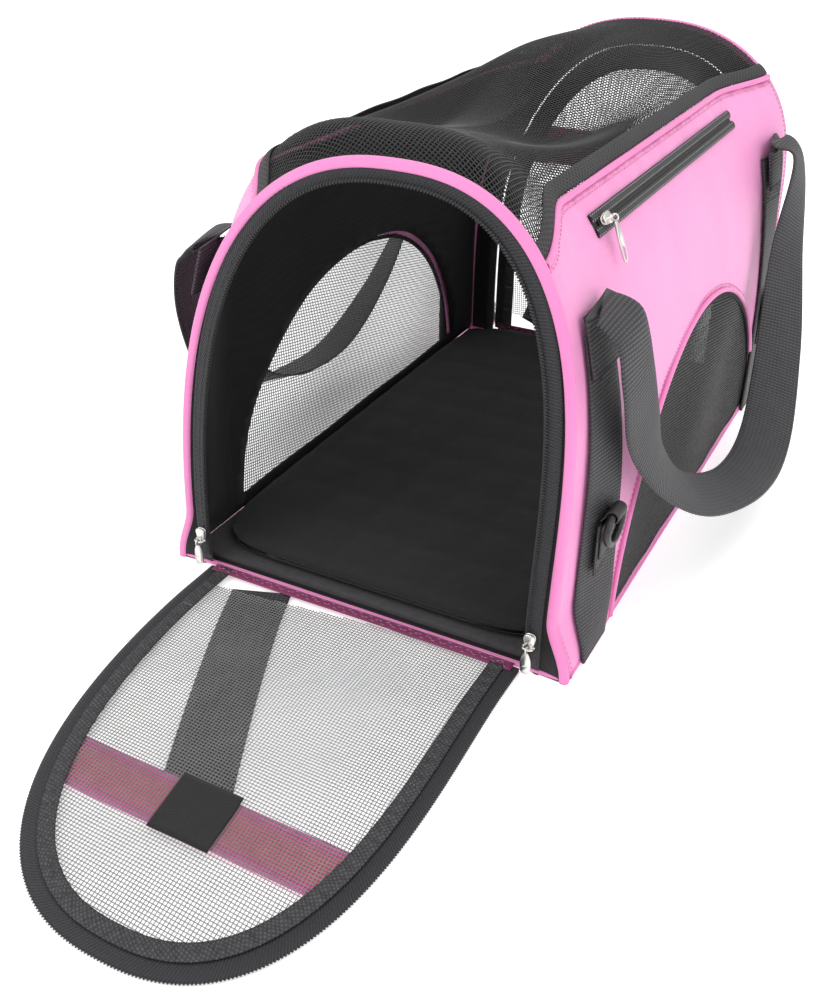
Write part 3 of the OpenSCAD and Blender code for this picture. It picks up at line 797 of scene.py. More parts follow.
def top_edges():
    """Each top seam: the doubled hem of the mesh, its piping and its stitches."""
    y = np.linspace(-LAYER_Y, LAYER_Y, 130)
    piping, thread = Cloth(), Cloth()
    for side, word in ((1, "right"), (-1, "left")):
        s = S_HEM + 0.0045 + np.linspace(0, HEM_W, 7)
        ss, yy = np.meshgrid(side_s(side, s), y)
        lift = 0.0003 + 0.0006 * np.sin(np.linspace(0, math.pi, 7))[None] + 0.0004 * np.sin(90 * yy)
        rows = np.stack(np.meshgrid(s, y), -1)[..., ::-1]
        cloth = Cloth().add(wall(ss, yy, lift), grid_faces(len(y), len(s), flip=side > 0), rows)
        hem = cloth.piece("top_hem_" + word, HEM, "bag", "mesh_hem", ["top_hems"])
        thicken(hem, 0.0009)
        middle = side_s(side, np.full_like(y, S_HEM + 0.0021))
        sweep(piping, wall(middle, y, 0.0002), wall_out(middle, y), circle(PIPING_R, 10))
        line = side_s(side, np.full_like(y, S_HEM - 0.003))
        stitches(thread, wall(line, y, pucker(S_HEM - 0.003, y, side) + 0.0007), wall_out(line, y))
    piping.piece("top_piping_cover", PINK_PIPING, "bag", "pink_piping", ["top_pipings"])
    thread.piece("top_seam_stitches", PINK_STITCH, "bag", "pink_piping")


def section_ring(inset, y, count=240, drop=0.0):
    """The hoop's line at y, inset from the outer section, from right base to left base."""
    line = half_turn(HALF_W - inset, BODY_H - inset)
    s = np.linspace(0, line.length, count)
    flat, out = line.at(s), line.normal(s)
    path = settle(np.stack([flat[:, 0], np.full(count, y), flat[:, 1] - drop], -1))
    up = np.stack([out[:, 0], np.zeros(count), out[:, 1]], -1)
    return path, up


def hoop_profile():
    """A hoop's piping: a fat bead in front and a narrow seam allowance behind it."""
    a = np.linspace(0, 2 * math.pi, 20, endpoint=False)
    c, s = np.cos(a), np.sin(a)
    return np.stack([0.0031 * np.sign(c) * np.abs(c) ** 0.8, 0.003 * np.sign(s) * np.abs(s) ** 0.8], -1)


def hoop_cover(end, name, replaces):
    """The piping over the hoop's spring wire, with the stitches of its seam."""
    y = end * (HOOP_OUT - 0.003)
    path, up = section_ring(0.003, y)
    cover = Cloth()
    sweep(cover, path, up, hoop_profile())
    cover.piece(name, PINK_PIPING, "bag", "pink_piping", replaces)
    wire = Cloth()
    sweep(wire, path, up, circle(HOOP_WIRE_R, 8))
    wire.piece(name + "_wire", STEEL, "bag", "spring_steel", ["hoop_wires"])
    path, up = section_ring(0.0001, end * (LAYER_Y - 0.0025))
    thread = Cloth()
    stitches(thread, path, up)
    thread.piece(name + "_stitches", PINK_STITCH, "bag", "pink_piping")


def end_panel(end, word):
    """The black border between a doorway and its hoop: ribbed zip tape and plain cloth."""
    angle = np.linspace(0, math.pi, 200)
    inner = superellipse(HALF_DOOR + 0.0005, DOOR_H + 0.0005, angle) + [0, HINGE_Z]
    tape = superellipse(HALF_DOOR + TAPE_W, DOOR_H + TAPE_W, angle) + [0, HINGE_Z]
    outer = superellipse(HALF_W - 0.003, BODY_H - 0.003, angle)
    tape[:, 1] = np.minimum(tape[:, 1], outer[:, 1] - 0.002)

    def band(name, a, b, columns, level, material, slot, thick, replaces=()):
        t = np.linspace(0, 1, columns)[None, :, None]
        flat = a[:, None] + (b - a)[:, None] * t
        lift = level[0] + (level[1] - level[0]) * t[..., 0]
        y = end * (HALF_L - 0.0006 + lift + 0 * flat[..., 0])
        points = settle(np.stack([flat[..., 0], y, flat[..., 1]], -1))
        along = np.concatenate([[0], np.cumsum(np.linalg.norm(np.diff(a, axis=0), axis=1))])
        width = np.linalg.norm(b - a, axis=1)[:, None] * t[..., 0]
        uvs = np.stack(np.broadcast_arrays(along[:, None], width), -1)
        cloth = Cloth().add(points, grid_faces(len(a), columns, flip=end < 0), uvs)
        obj = cloth.piece(name, material, "bag", slot, replaces)
        thicken(obj, thick)

    band(f"{word}_border_cloth", inner + (tape - inner) * 0.7, outer, 5, (-0.0006, 0.0012), LINING,
         "zip_tape", 0.0008, [f"{word}_border"])
    band(f"{word}_opening_tape", inner, tape, 6, (0.0004, 0.0006), TAPE, "zip_tape", 0.0008)

    def line_round(grow, out):
        line = door_line(HALF_DOOR + grow, DOOR_H + grow)
        y = np.full(len(line), end * (HALF_L + out))
        return settle(np.stack([line[:, 0], y, line[:, 1] + HINGE_Z], -1))

    teeth = coil(Cloth(), line_round(CHAIN_W / 2, 0.0012), (0, end, 0))
    teeth.piece(f"{word}_opening_coil", COIL, "bag", "zip_coil", [f"{word}_zip_chain"])
    thread = Cloth()
    for grow in (0.0048, 0.0085):
        stitches(thread, line_round(grow, 0.0006), (0, end, 0), radius=FINE_THREAD)
    thread.piece(f"{word}_tape_stitches", DARK_STITCH, "bag", "zip_tape")


def door_line(half, height, foot=0.004, step=0.002):
    """A line round a doorway, from its right foot to its left foot, as (across, up)."""
    line = half_turn(half, height)
    s = np.arange(foot, line.length - foot, step)
    return line.at(s)


def level_cloth(half_w, rows, columns, height):
    """A cloth over the whole base, as wide as given, at height(x, y)."""
    x, y = np.meshgrid(np.linspace(-half_w, half_w, columns), np.linspace(-LAYER_Y, LAYER_Y, rows))
    points = np.stack([x, y, height(x, y)], -1)
    return Cloth().add(points, grid_faces(rows, columns), np.stack([x, y], -1))


def bottom():
    """The base panel under the bag, with its rolled edge, and the lining on it."""
    half_w, half_l = HALF_W - 0.004, LAYER_Y
    cloth = level_cloth(half_w, 90, 60, lambda x, y: 0.0006 + 0.0002 * np.sin(40 * x) * np.sin(33 * y))
    base = thicken(cloth.piece("base_cloth", PINK, "bag", "pink_nylon", ["bottom_panel"]), 0.0008)
    edge = Cloth()
    for side in (1, -1):
        y = np.linspace(-LAYER_Y, LAYER_Y, 90)
        path = settle(np.stack([np.full(90, side * (HALF_W - 0.0015)), y, np.full(90, 0.0022)], -1))
        sweep(edge, path, (0, 0, 1), circle(PIPING_R, 10))
    for end in (1, -1):
        x = np.linspace(-HALF_W + 0.006, HALF_W - 0.006, 60)
        path = np.stack([x, np.full(60, end * (HALF_L - 0.0006)), np.full(60, 0.0017)], -1)
        sweep(edge, path, (0, 0, 1), circle(0.0015, 10))
    edge.piece("base_piping", PINK_PIPING, "bag", "pink_piping")
    half_in = HALF_W - 0.0085
    cloth = level_cloth(half_in, 80, 50, lambda x, y: high("floor_lining")[2] - 0.0004 + 0 * x)
    floor = cloth.piece("floor_lining_cloth", LINING, "bag", "black_lining", ["floor_lining"])
    thicken(floor, 0.0006)


def pouch():
    """The slack pouch behind the pocket's zip."""
    lo, hi = low("pocket_pouch"), high("pocket_pouch")
    s, y = np.meshgrid(np.linspace(round_at(lo[2]), round_at(hi[2]), 20),
                       np.linspace(lo[1], hi[1], 70))
    depth = -0.0021 + 0.0002 * np.sin(60 * y) * np.sin(90 * s)
    cloth = Cloth().add(wall(s, y, depth), grid_faces(70, 20), np.stack([y, s], -1))
    obj = cloth.piece("pocket_pouch_cloth", LINING, "bag", "black_lining", ["pocket_pouch"])
    thicken(obj, 0.0005)


# ---------------------------------------------------------------- straps, handles and rings

def straps(side, word):
    """A side's two webbing straps, sewn up the panel from the base to the handle."""
    web, thread = Cloth(), Cloth()
    s = np.linspace(round_at(0.002), round_at(STRAP_TOP), 70)
    for y0 in STRAP_Y:
        y = np.full_like(s, y0)
        ss = side_s(side, s)
        path = wall(ss, y, 0.0016 + 0.0002 * np.sin(60 * s))
        sweep(web, path, wall_out(ss, y), strap_profile(WEB_W, WEB_T, 10))
        for edge in (-1, 1):
            ye = y + edge * (WEB_W / 2 - 0.003)
            stitches(thread, wall(ss, ye, 0.0023), wall_out(ss, ye), radius=FINE_THREAD)
        a, b = round_at(STRAP_TOP - 0.034), round_at(STRAP_TOP - 0.004)
        w = WEB_W / 2 - 0.005
        corners = [(a, -w), (a, w), (b, w), (b, -w), (a, -w), (b, w), (b, -w), (a, w)]
        for (s0, y_a), (s1, y_b) in zip(corners, corners[1:]):
            line_s = side_s(side, np.linspace(s0, s1, 16))
            line_y = y0 + np.linspace(y_a, y_b, 16)
            stitches(thread, wall(line_s, line_y, 0.0024), wall_out(line_s, line_y), radius=0.0004)
    web.piece(f"webbing_{word}", WEBBING, "bag", "webbing", [f"straps_{word}"])
    thread.piece(f"webbing_stitches_{word}", DARK_STITCH, "bag", "webbing")


def handle(side, word):
    """A hanging webbing handle: both legs folded over at the strap tops, the middle slack."""
    front, rear = STRAP_Y

    def root(z, y, out):
        return wall(side_s(side, round_at(z)), y, out)

    # Where the hanging webbing passes, then which way it faces at each point
    free = [(0.1425, -0.190, 0.215), (0.151, -0.187, 0.186), (0.155, -0.171, 0.144), (0.162, -0.138, 0.102),
            (0.174, -0.090, 0.066), (0.187, -0.020, 0.044), (0.187, 0.050, 0.044), (0.177, 0.108, 0.085),
            (0.163, 0.152, 0.150), (0.1475, 0.186, 0.211)]
    free = settle(np.array(free) * [side, 1, 1])
    path = [root(0.190, front, 0.0034), root(0.206, front, 0.0036), root(0.222, front, 0.0062), *free,
            root(0.222, rear, 0.0062), root(0.206, rear, 0.0036), root(0.190, rear, 0.0034)]
    face = [(1, 0, 0.3), (1, 0, 0.3), (0.7, 0, 0.8), (1, -0.05, -0.1), (0.95, -0.1, 0.1), (0.95, -0.2, 0.2),
            (0.8, 0, 0.55), (0.5, 0.1, 0.8), (0.2, -0.1, 0.95), (0.3, -0.5, 0.8), (0.55, -0.75, 0.3),
            (0.8, -0.5, 0.1), (1, -0.1, 0.0), (0.7, 0, 0.8), (1, 0, 0.3), (1, 0, 0.3)]
    face = [np.array([side * a, b, c]) for a, b, c in face]
    both = spline(np.concatenate([path, unit(np.array(face)) * 0.02], axis=1), 0.003)
    web = sweep(Cloth(), both[:, :3], both[:, 3:], strap_profile(WEB_W, WEB_T, 10, 0.0006))
    obj = web.piece(f"handle_webbing_{word}", WEBBING, None, "webbing", [f"handle_{word}"])
    a, b = root(0.190, front, 0.0064)[:2], root(0.190, rear, 0.0064)[:2]
    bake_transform(obj)


def ring_parts():
    """The two D-rings and the folded tabs that hold them."""
    tabs, thread = Cloth(), Cloth()
    for word, centre in (("front", RING_FRONT), ("rear", RING_REAR)):
        node = f"d_ring_{word}"
        lo, hi = low(node), high(node)
        r = (hi[0] - lo[0]) / 2
        half = (hi[1] - lo[1]) / 2 - r
        foot = centre[2] - lo[2] - r - half
        arc = np.linspace(0, math.pi, 28)
        y = np.concatenate([[-half * 0.6, 0, half * 0.6], half * np.cos(arc)])
        z = np.concatenate([[0, 0, 0], -foot - half * np.sin(arc)])
        loop = centre + np.stack([0 * y, y, z], -1)
        loop = along_path(np.concatenate([loop, loop[:1]]), 0.002)[:-1]
        sweep(Cloth(), loop, (1, 0, 0), circle(r, 14), closed=True).piece(
            f"ring_{word}", RING, node, "black_ring", [node])
        bore = r + 0.0004
        foot_x = float(wall(round_at(centre[2] - 0.02), centre[1])[0]) + WEB_T + 0.0016
        back = [[foot_x, centre[1], centre[2] - 0.006], [foot_x, centre[1], centre[2] - 0.040]]
        loop = [[foot_x, centre[1], centre[2] - 0.004]]
        for angle in np.linspace(math.pi, -0.72 * math.pi, 22):
            loop.append([centre[0] + (bore + 0.0009) * math.cos(angle), centre[1],
                         centre[2] + (bore + 0.0009) * math.sin(angle)])
        loop += [[foot_x + 0.0014, centre[1], centre[2] - drop] for drop in (0.008, 0.030)]
        path = along_path(np.array(loop), 0.0012)
        way = unit(np.gradient(path, axis=0))
        up = np.cross(way, (0, 1, 0))
        sweep(tabs, path, up, strap_profile(0.015, 0.0012, 6))
        tail = along_path(np.array(back), 0.003)
        sweep(tabs, tail, (1, 0, 0), strap_profile(0.021, 0.0012, 8))
        for dy in (-0.0085, 0.0085):
            stitches(thread, tail + [0.0007, dy, 0], (1, 0, 0), radius=FINE_THREAD)
        for z in (-0.010, -0.037):
            line = np.array([[foot_x + 0.0008, centre[1] + d, centre[2] + z]
                             for d in np.linspace(-0.008, 0.008, 6)])
            stitches(thread, line, (1, 0, 0), radius=FINE_THREAD)
    tabs.piece("ring_tab_leather", LEATHER, "bag", "ring_tab", ["ring_tabs"])
    thread.piece("ring_tab_stitches", DARK_STITCH, "bag", "ring_tab")


# ---------------------------------------------------------------- doors

def door(end, word):
    """A door's net, binding, tape, coil, cross band, patch and strap."""
    body = f"{word}_door"
    edge = CHAIN_W + DOOR_TAPE_W
    trim = edge - 0.0005
    shape = half_turn(HALF_DOOR - trim, DOOR_H - trim).points[::8]

    def wave(x, s):
        return 0.0006 * np.sin(48 * x + 1) * np.sin(37 * s) + 0.0004 * np.sin(90 * s + 30 * x)

    def place(x, s, out):
        return door_point(end, x, s, 0.0024 + wave(x, s) + out)

    def inside(x, s):
        return inside_polygon(shape, x, s) & (s > 0.001)

    cloth = Cloth()
    net(cloth, place, inside, (-HALF_DOOR, 0, HALF_DOOR, DOOR_H), *DOOR_NET)
    # The door net's threads take the lighter grey copy of the black mesh thread: painted light.
    obj = cloth.piece(f"{word}_door_net", DOOR_THREAD_PAINTED_LIGHT, body, "black_mesh", [f"{word}_door_mesh"])

    def ring(name, g0, g1, columns, level, material, slot, thick, replaces, ruffle=0.0):
        line = half_turn(HALF_DOOR - g0, DOOR_H - g0)
        s = np.linspace(0.003, line.length - 0.003, 420)
        flat, out = line.at(s), line.normal(s)
        t = np.linspace(0, g1 - g0, columns)
        x = flat[:, None, 0] - out[:, None, 0] * t
        y = flat[:, None, 1] - out[:, None, 1] * t
        middle = np.sin(np.linspace(0, math.pi, columns))[None]
        waves = np.sin(900 * s) + 0.8 * np.sin(610 * s + 2) + 0.7 * np.sin(1430 * s)
        gathers = ruffle * middle * waves[:, None]
        lift = level + 0.0004 * middle + np.maximum(gathers, -0.0008)
        points = door_point(end, x, np.maximum(y, 0.0012), lift)
        uvs = np.stack(np.broadcast_arrays(s[:, None], t[None] + 0 * s[:, None]), -1)
        made = Cloth().add(points, grid_faces(len(s), columns, flip=end > 0), uvs)
        return thicken(made.piece(name, material, body, slot, replaces), thick)

    ring(f"{word}_door_tape_cloth", 0.0010, edge + 0.002, 6, 0.0017, TAPE, "zip_tape", 0.0007,
         [f"{word}_door_tape"])
    ring(f"{word}_door_gathers", edge - 0.0015, edge + BINDING_W - 0.0015, 9, 0.0033, BINDING,
         "mesh_binding", 0.0006, [f"{word}_door_binding"], ruffle=0.00055)
    line = door_line(HALF_DOOR - 0.0003 - CHAIN_W / 2, DOOR_H - 0.0003 - CHAIN_W / 2)
    path = door_point(end, line[:, 0], line[:, 1], 0.0012)
    up = (0, 0, 1) if end < 0 else (0, -1, 0)
    coil(Cloth(), path, up).piece(f"{word}_door_coil", COIL, body, "zip_coil", [f"{word}_door_chain"])
    thread = Cloth()
    for g in (CHAIN_W + 0.0022, edge - 0.0030):
        line = door_line(HALF_DOOR - g, DOOR_H - g)
        stitches(thread, door_point(end, line[:, 0], line[:, 1], 0.0024), up, radius=FINE_THREAD)
    thread.piece(f"{word}_door_tape_stitches", DARK_STITCH, body, "zip_tape")

    def flat_band(name, x0, x1, s0, s1, level, material, slot, thick, replaces,
                  rows=40, columns=14):
        x = np.linspace(0, 1, rows)[:, None]
        s = np.linspace(-0.5, 0.5, columns)[None]
        width = s1 - s0
        xx = x0 + (x1 - x0) * x + 0 * s
        ss = (s0 + s1) / 2 + width * s + 0 * x
        points = door_point(end, xx, ss, level + wave(xx, ss) * 0.6)
        uvs = np.stack(np.broadcast_arrays(x * (x1 - x0), width * s), -1)
        made = Cloth().add(points, grid_faces(rows, columns, flip=end < 0), uvs)
        return thicken(made.piece(name, material, body, slot, replaces), thick)

    mid = BAND_S + BAND_W / 2
    reach = HALF_DOOR * (1 - (mid / DOOR_H) ** SECTION_Q) ** (1 / SECTION_P) - CHAIN_W - DOOR_TAPE_W
    band = flat_band(f"{word}_door_ribbon", -reach, reach, BAND_S, BAND_S + BAND_W, 0.00135, BAND,
                     "pink_band", 0.0005, [f"{word}_door_band"])
    half = PATCH_W / 2
    flat_band(f"{word}_door_pad", -half, half, mid - half, mid + half, 0.0033 if end < 0 else 0.0006,
              PATCH, "hook_patch", 0.0009, [f"{word}_door_patch"])
    strap = Cloth()
    foot, tip = np.array([-0.067, 0.0115]), np.array([-0.008, BAND_S + 0.004])
    t = np.linspace(0, 1, 60)[:, None]
    line = foot + (tip - foot) * t
    path = door_point(end, line[:, 0], line[:, 1], 0.00125)
    sweep(strap, path, up, strap_profile(0.040, 0.0007, 10))
    strap.piece(f"{word}_door_roll_strap", WEBBING, body, "webbing", [f"{word}_door_strap"])
    flat_band(f"{word}_door_hinge_tape", -HALF_DOOR + 0.005, HALF_DOOR - 0.005, 0.0012, 0.0085,
              0.0034, SEAM_PINK, "pink_band", 0.0006, [], rows=80, columns=5)
    zigzag = Cloth()
    x = np.arange(-HALF_DOOR + 0.007, HALF_DOOR - 0.007, 0.0035)
    s = 0.0048 + 0.0022 * np.where(np.arange(len(x)) % 2, 1, -1)
    stitches(zigzag, door_point(end, x, s, 0.0040), up, length=0.0036, pitch=0.0041, radius=0.00032)
    zigzag.piece(f"{word}_door_hinge_stitches", PINK_STITCH, body, "pink_band")


# ---------------------------------------------------------------- zip metal

def plate(cloth, outline, thickness, frame_of, bevel=0.0004, hole=None):
    """A flat metal part with bevelled edges: outline of (across, along) points, maybe with a hole."""
    outline = np.asarray(outline, float)
    centre = outline.mean(0)
    inset = bevel / np.linalg.norm(outline - centre, axis=1, keepdims=True)
    small = outline + (centre - outline) * inset
    rings = [(small, 0.0), (outline, bevel), (outline, thickness - bevel), (small, thickness)]
    if hole is not None:
        hole = np.asarray(hole, float)
        middle = hole.mean(0)
        grow = bevel / np.linalg.norm(hole - middle, axis=1, keepdims=True)
        wide = middle + (hole - middle) * (1 + grow)
        rings += [(wide, thickness), (hole, thickness - bevel), (hole, bevel), (wide, 0.0)]
    n = len(outline)
    points = np.concatenate([frame_of(np.full(n, level), ring[:, 0], ring[:, 1])
                             for ring, level in rings])
    faces = []
    count = len(rings)
    for k in range(count if hole is not None else count - 1):
        a, b = k * n, ((k + 1) % count) * n
        faces += [(a + i, a + (i + 1) % n, b + (i + 1) % n, b + i) for i in range(n)]
    if hole is None:
        faces += [tuple(range(n - 1, -1, -1)), tuple((count - 1) * n + i for i in range(n))]
    cloth.add(points, faces)


def tab_outline(width, start, end, count=56, neck=0.0):
    """A tab from start to end along its length, round at the end, narrower at its neck."""
    a = np.linspace(0, 2 * math.pi, count, endpoint=False)
    c, s = np.cos(a), np.sin(a)
    half_l = (end - start) / 2
    z = (start + end) / 2 + half_l * np.sign(c) * np.abs(c) ** 0.55
    share = (z - start) / (end - start)
    half = width / 2 * (1 - neck * (1 - smooth(share * 2.2)))
    return np.stack([half * np.sign(s) * np.abs(s) ** 0.7, z], -1)


def frame_at(origin, out, across, along):
    """Turns a zip part's own (out, across, along) numbers into points."""
    axes = np.array([out, across, along], float)

    def place(o, a, l):
        return origin + np.stack(np.broadcast_arrays(o, a, l), -1) @ axes

    return place


def slider(name, node, origin, out, along, width, length, bail_along=False):
    """A zip slider: two waisted plates joined by a neck, and a bail over them."""
    across = np.cross(along, out)
    local = frame_at(origin, out, across, along)
    metal_work = Cloth()
    a = np.linspace(0, 2 * math.pi, 48, endpoint=False)
    c, s = np.cos(a), np.sin(a)
    share = (np.sign(c) * np.abs(c) ** 0.6 + 1) / 2
    half = width / 2 * (0.62 + 0.38 * smooth(share * 1.5)) * (1 - 0.12 * np.sin(math.pi * share) ** 2)
    body = np.stack([half * np.sign(s) * np.abs(s) ** 0.7, length * share], -1)
    plate(metal_work, body, 0.0012, lambda o, a, l: local(o + 0.0018, a, l), 0.0004)
    plate(metal_work, body * [0.96, 1], 0.0009, lambda o, a, l: local(o + 0.0001, a, l), 0.0003)
    neck = body * [0.35, 0.35] + [0, length * 0.55]
    plate(metal_work, neck, 0.0012, lambda o, a, l: local(o + 0.0007, a, l), 0.0002)
    t = np.linspace(0, math.pi, 18)
    rise = 0.0026 + 0.0034 * np.sin(t) ** 0.5
    if bail_along:
        arch = local(rise, 0 * t, length / 2 - (length / 2 - 0.0016) * np.cos(t))
        up = across
    else:
        arch = local(rise, (width / 2 - 0.0008) * np.cos(t), 0.0026 + 0 * t)
        up = along
    sweep(metal_work, arch, up, circle(0.0007, 8))
    return metal_work.piece(name, METAL, node, "zip_metal", [node])


def pull(name, node, pivot, out, along, length, width=0.0068, loop=False):
    """A pull tab: an eye round the bail and a plate that hangs along its length."""
    across = np.cross(along, out)
    local = frame_at(pivot, out, across, along)
    metal_work = Cloth()
    t = np.linspace(0, 2 * math.pi, 20, endpoint=False)
    eye = local(0.0018 * np.cos(t), 0 * t, 0.0018 * np.sin(t) + 0.0004)
    sweep(metal_work, eye, across, circle(0.0006, 8), closed=True)
    start, end = 0.0022, length
    outline = tab_outline(width, start, end, neck=0.35)
    hole = None
    if loop:
        hole = tab_outline(width * 0.58, start + (end - start) * 0.62, end - 0.0013)
    plate(metal_work, outline, 0.0012, lambda o, a, l: local(o - 0.0006, a, l), 0.0003, hole)
    if not loop:
        dish = tab_outline(width * 0.66, end - 0.0062, end - 0.0012)
        plate(metal_work, dish, 0.0004, lambda o, a, l: local(o + 0.0005, a, l), 0.00018)
    return metal_work.piece(name, METAL, node, "zip_metal", [node])


def door_slider(word, node_slider, node_pull, end):
    """A door's slider and the pull that hangs from it, in the places of their frame nodes."""
    lo, hi = low(node_slider), high(node_slider)
    middle = (lo[0] + hi[0]) / 2
    face = lo[1] if end > 0 else hi[1]
    slider(f"slider_{word}", node_slider, np.array([middle, face, lo[2]]), (0, end, 0), (0, 0, 1),
           hi[0] - lo[0], hi[2] - lo[2])
    pivot = joint_place(node_pull + "_flip")
    pull(f"pull_{word}", node_pull, pivot, (0, end, 0), (0, 0, -1), pivot[2] - low(node_pull)[2])


def pocket():
    """The pocket's zip: ribbed tape, two rolled lips, its coil, its stitches, its slider and pull."""
    tape, lips, thread = Cloth(), Cloth(), Cloth()
    s0 = round_at(POCKET_Z)
    y = np.linspace(POCKET_Y0 - 0.006, POCKET_Y1 + 0.006, 150)
    for lip in (-1, 1):
        s = np.full_like(y, s0) + lip * 0.0042
        profile = strap_profile(0.0058, 0.0011, 6, 0.0006)
        sweep(lips, wall(s, y, 0.0007), wall_out(s, y), profile)
        for offset in (0.0028, 0.0060):
            line = np.full_like(y, s0) + lip * offset
            stitches(thread, wall(line, y, 0.0016), wall_out(line, y), length=0.0022, pitch=0.0031,
                     radius=FINE_THREAD)
    s = np.full_like(y, s0)
    sweep(tape, wall(s, y, -0.0006), wall_out(s, y), strap_profile(0.0135, 0.0009, 8))
    tape.piece("pocket_tape_cloth", POCKET_TAPE, "bag", "zip_tape", ["pocket_tape"])
    lips.piece("pocket_lips", POCKET_TAPE, "bag", "zip_tape")
    thread.piece("pocket_stitches", STITCH, "bag", "zip_tape")
    y = np.linspace(POCKET_Y0, POCKET_Y1, 150)
    s = np.full_like(y, s0)
    teeth = Cloth()
    for lip in (-1, 1):
        coil(teeth, wall(s + lip * 0.001, y, 0.0008), wall_out(s, y), width=0.0026)
    teeth.piece("pocket_coil", COIL, "bag", "zip_coil", ["pocket_chain"])
    out = BODY.normal(s0)
    out = np.array([out[0], 0, out[1]])
    foot = wall(s0, POCKET_Y0, 0.0) * [1, 0, 1] + [0, POCKET_Y0, 0]
    slider("slider_pocket", "pocket_slider", foot + out * 0.0022, out, (0, 1, 0), 0.008, 0.011,
           bail_along=True)
    pivot = joint_place("pocket_pull_flip")
    down = np.array([out[2], 0, -out[0]])
    droop = math.radians(12)
    along = down * math.cos(droop) - out * math.sin(droop)
    face = out * math.cos(droop) + down * math.sin(droop)
    pull("pull_pocket", "pocket_pull", pivot, face, along, 0.026, 0.0068, loop=True)


# ---------------------------------------------------------------- pad

def base_pad():
    """The quilted pad on the floor board."""
    centre, size = (PAD_LOW + PAD_HIGH) / 2, PAD_HIGH - PAD_LOW
    half = size / 2 - [0.002, 0.002, 0.0025]
    rows, columns = 60, 90
    u = np.linspace(-1, 1, rows)
    v = np.linspace(-1, 1, columns)
    uu, vv = np.meshgrid(u, v, indexing="ij")
    corner = 0.93
    fit = np.minimum(1, corner * 2 / np.maximum(np.abs(uu) ** 8 + np.abs(vv) ** 8, 1e-6) ** 0.125 / 1.9)
    x, y = half[0] * uu * fit, half[1] * vv * fit
    edge = 1 - np.maximum(np.abs(uu), np.abs(vv)) ** 6
    quilt = np.abs(np.sin(math.pi * 3.5 * uu)) ** 0.5 * np.abs(np.sin(math.pi * 5.5 * vv)) ** 0.5
    puff = half[2] * (0.35 + 0.65 * edge ** 0.5) * (0.72 + 0.34 * quilt)
    top = np.stack([x, y, puff], -1)
    under = np.stack([x, y, -half[2] * (0.35 + 0.6 * edge ** 0.5)], -1)
    cloth = Cloth()
    uv = np.stack([x, y], -1)
    cloth.add(centre + top, grid_faces(rows, columns), uv)
    cloth.add(centre + under, grid_faces(rows, columns, flip=True), uv)
    rim = list(range(columns)) + [i * columns + columns - 1 for i in range(1, rows)]
    rim += [(rows - 1) * columns + j for j in range(columns - 2, -1, -1)]
    rim += [i * columns for i in range(rows - 2, 0, -1)]
    shift = rows * columns
    cloth.faces += [(b, a, a + shift, b + shift) for a, b in zip(rim, rim[1:] + rim[:1])]
    obj = cloth.piece("base_cushion", PAD, "bag", "fleece", ["base_pad"])


# How much light the studio's floor and sky give off, and each lamp's name, place, size and power
FLOOR_GLOW, SKY_STRENGTH = 0.45, 0.8
LAMPS = (("key", (-1.1, -1.6, 1.9), 1.6, 22), ("fill", (1.9, -0.9, 1.3), 1.4, 12),
         ("top", (0.2, 0.6, 2.4), 2.0, 18))


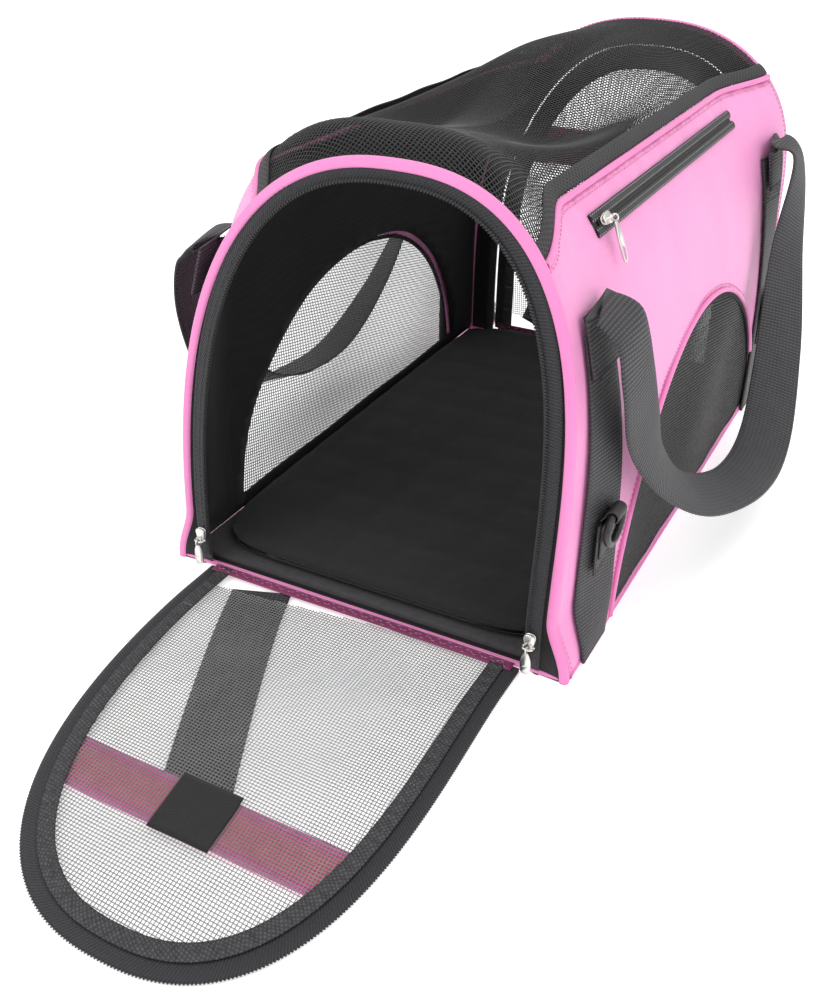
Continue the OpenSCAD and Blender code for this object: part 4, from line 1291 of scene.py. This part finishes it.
def stage():
    """A pale floor, an even sky and soft lamps."""
    floor_mat = Shade("studio_floor", 0.7, Specular_IOR_Level=0.2)
    floor_mat.colour(floor_mat.mix(floor_mat.noise(3.0), (0.93, 0.93, 0.93, 1), (0.95, 0.95, 0.95, 1)))
    floor_mat.shader.inputs["Emission Color"].default_value = (1, 1, 1, 1)
    floor_mat.shader.inputs["Emission Strength"].default_value = FLOOR_GLOW
    u, v = np.meshgrid(np.linspace(-6, 6, 13), np.linspace(-6, 6, 13))
    cloth = Cloth().add(np.stack([u, v, 0 * u - 0.0006], -1), grid_faces(13, 13, flip=True))
    cloth.piece("studio_floor", floor_mat.material)
    world = bpy.data.worlds.new("studio")
    world.use_nodes = True
    sky = world.node_tree.nodes["Background"].inputs
    sky["Color"].default_value = (1, 1, 1, 1)
    sky["Strength"].default_value = SKY_STRENGTH
    bpy.context.scene.world = world
    bpy.context.scene.view_settings.view_transform = "Standard"
    for name, place, size, power in LAMPS:
        lamp = bpy.data.lights.new(name, "AREA")
        lamp.size, lamp.energy = size, power
        obj = bpy.data.objects.new(name, lamp)
        obj.location = place
        obj.rotation_euler = (Vector((0, 0, 0.12)) - Vector(place)).to_track_quat("-Z", "Y").to_euler()
        bpy.context.collection.objects.link(obj)


# The camera's direction from the bag's origin, its lens in millimetres, and its place along its own axes
CAMERA_AZIMUTH, CAMERA_ELEVATION = math.radians(28.4), math.radians(31.55)
CAMERA_LENS = 39.7
CAMERA_AT = (-0.078, -0.0327, 0.883)


def camera():
    a, e = CAMERA_AZIMUTH, CAMERA_ELEVATION
    right = Vector((math.cos(a), math.sin(a), 0))
    back = Vector((math.sin(a) * math.cos(e), -math.cos(a) * math.cos(e), math.sin(e)))
    up = back.cross(right)
    place = CAMERA_AT[0] * right + CAMERA_AT[1] * up + CAMERA_AT[2] * back
    data = bpy.data.cameras.new("camera")
    data.lens, data.clip_start = CAMERA_LENS, 0.01
    obj = bpy.data.objects.new("camera", data)
    obj.location = place
    obj.rotation_euler = back.to_track_quat("Z", "Y").to_euler()
    bpy.context.collection.objects.link(obj)
    bpy.context.scene.camera = obj


def board_material():
    """The material of the CAD node that stays, the board under the pad."""
    slots = frame["nodes"]["base_board"].data.materials
    slots.clear()
    slots.append(BOARD)


camera()
stage()
board_material()
for side, word in ((1, "right"), (-1, "left")):
    side_panel(side, f"side_panel_cloth_{word}")
    side_lining(side, f"side_lining_{word}", ["side_foams", "side_linings"])
    side_window(side, f"side_window_{word}")
    straps(side, word)
    handle(side, word)
window_trim()
top_mesh()
top_edges()
hoop_cover(-1, "front_hoop_cover", ["front_hoop_piping"])
hoop_cover(1, "rear_hoop_cover", ["rear_hoop_piping"])
end_panel(-1, "front")
end_panel(1, "rear")
bottom()
pouch()
ring_parts()
door(-1, "front")
door(1, "rear")
door_slider("front_right", "front_slider_right", "front_pull_right", -1)
door_slider("front_left", "front_slider_left", "front_pull_left", -1)
door_slider("rear", "rear_slider", "rear_pull", 1)
pocket()
base_pad()
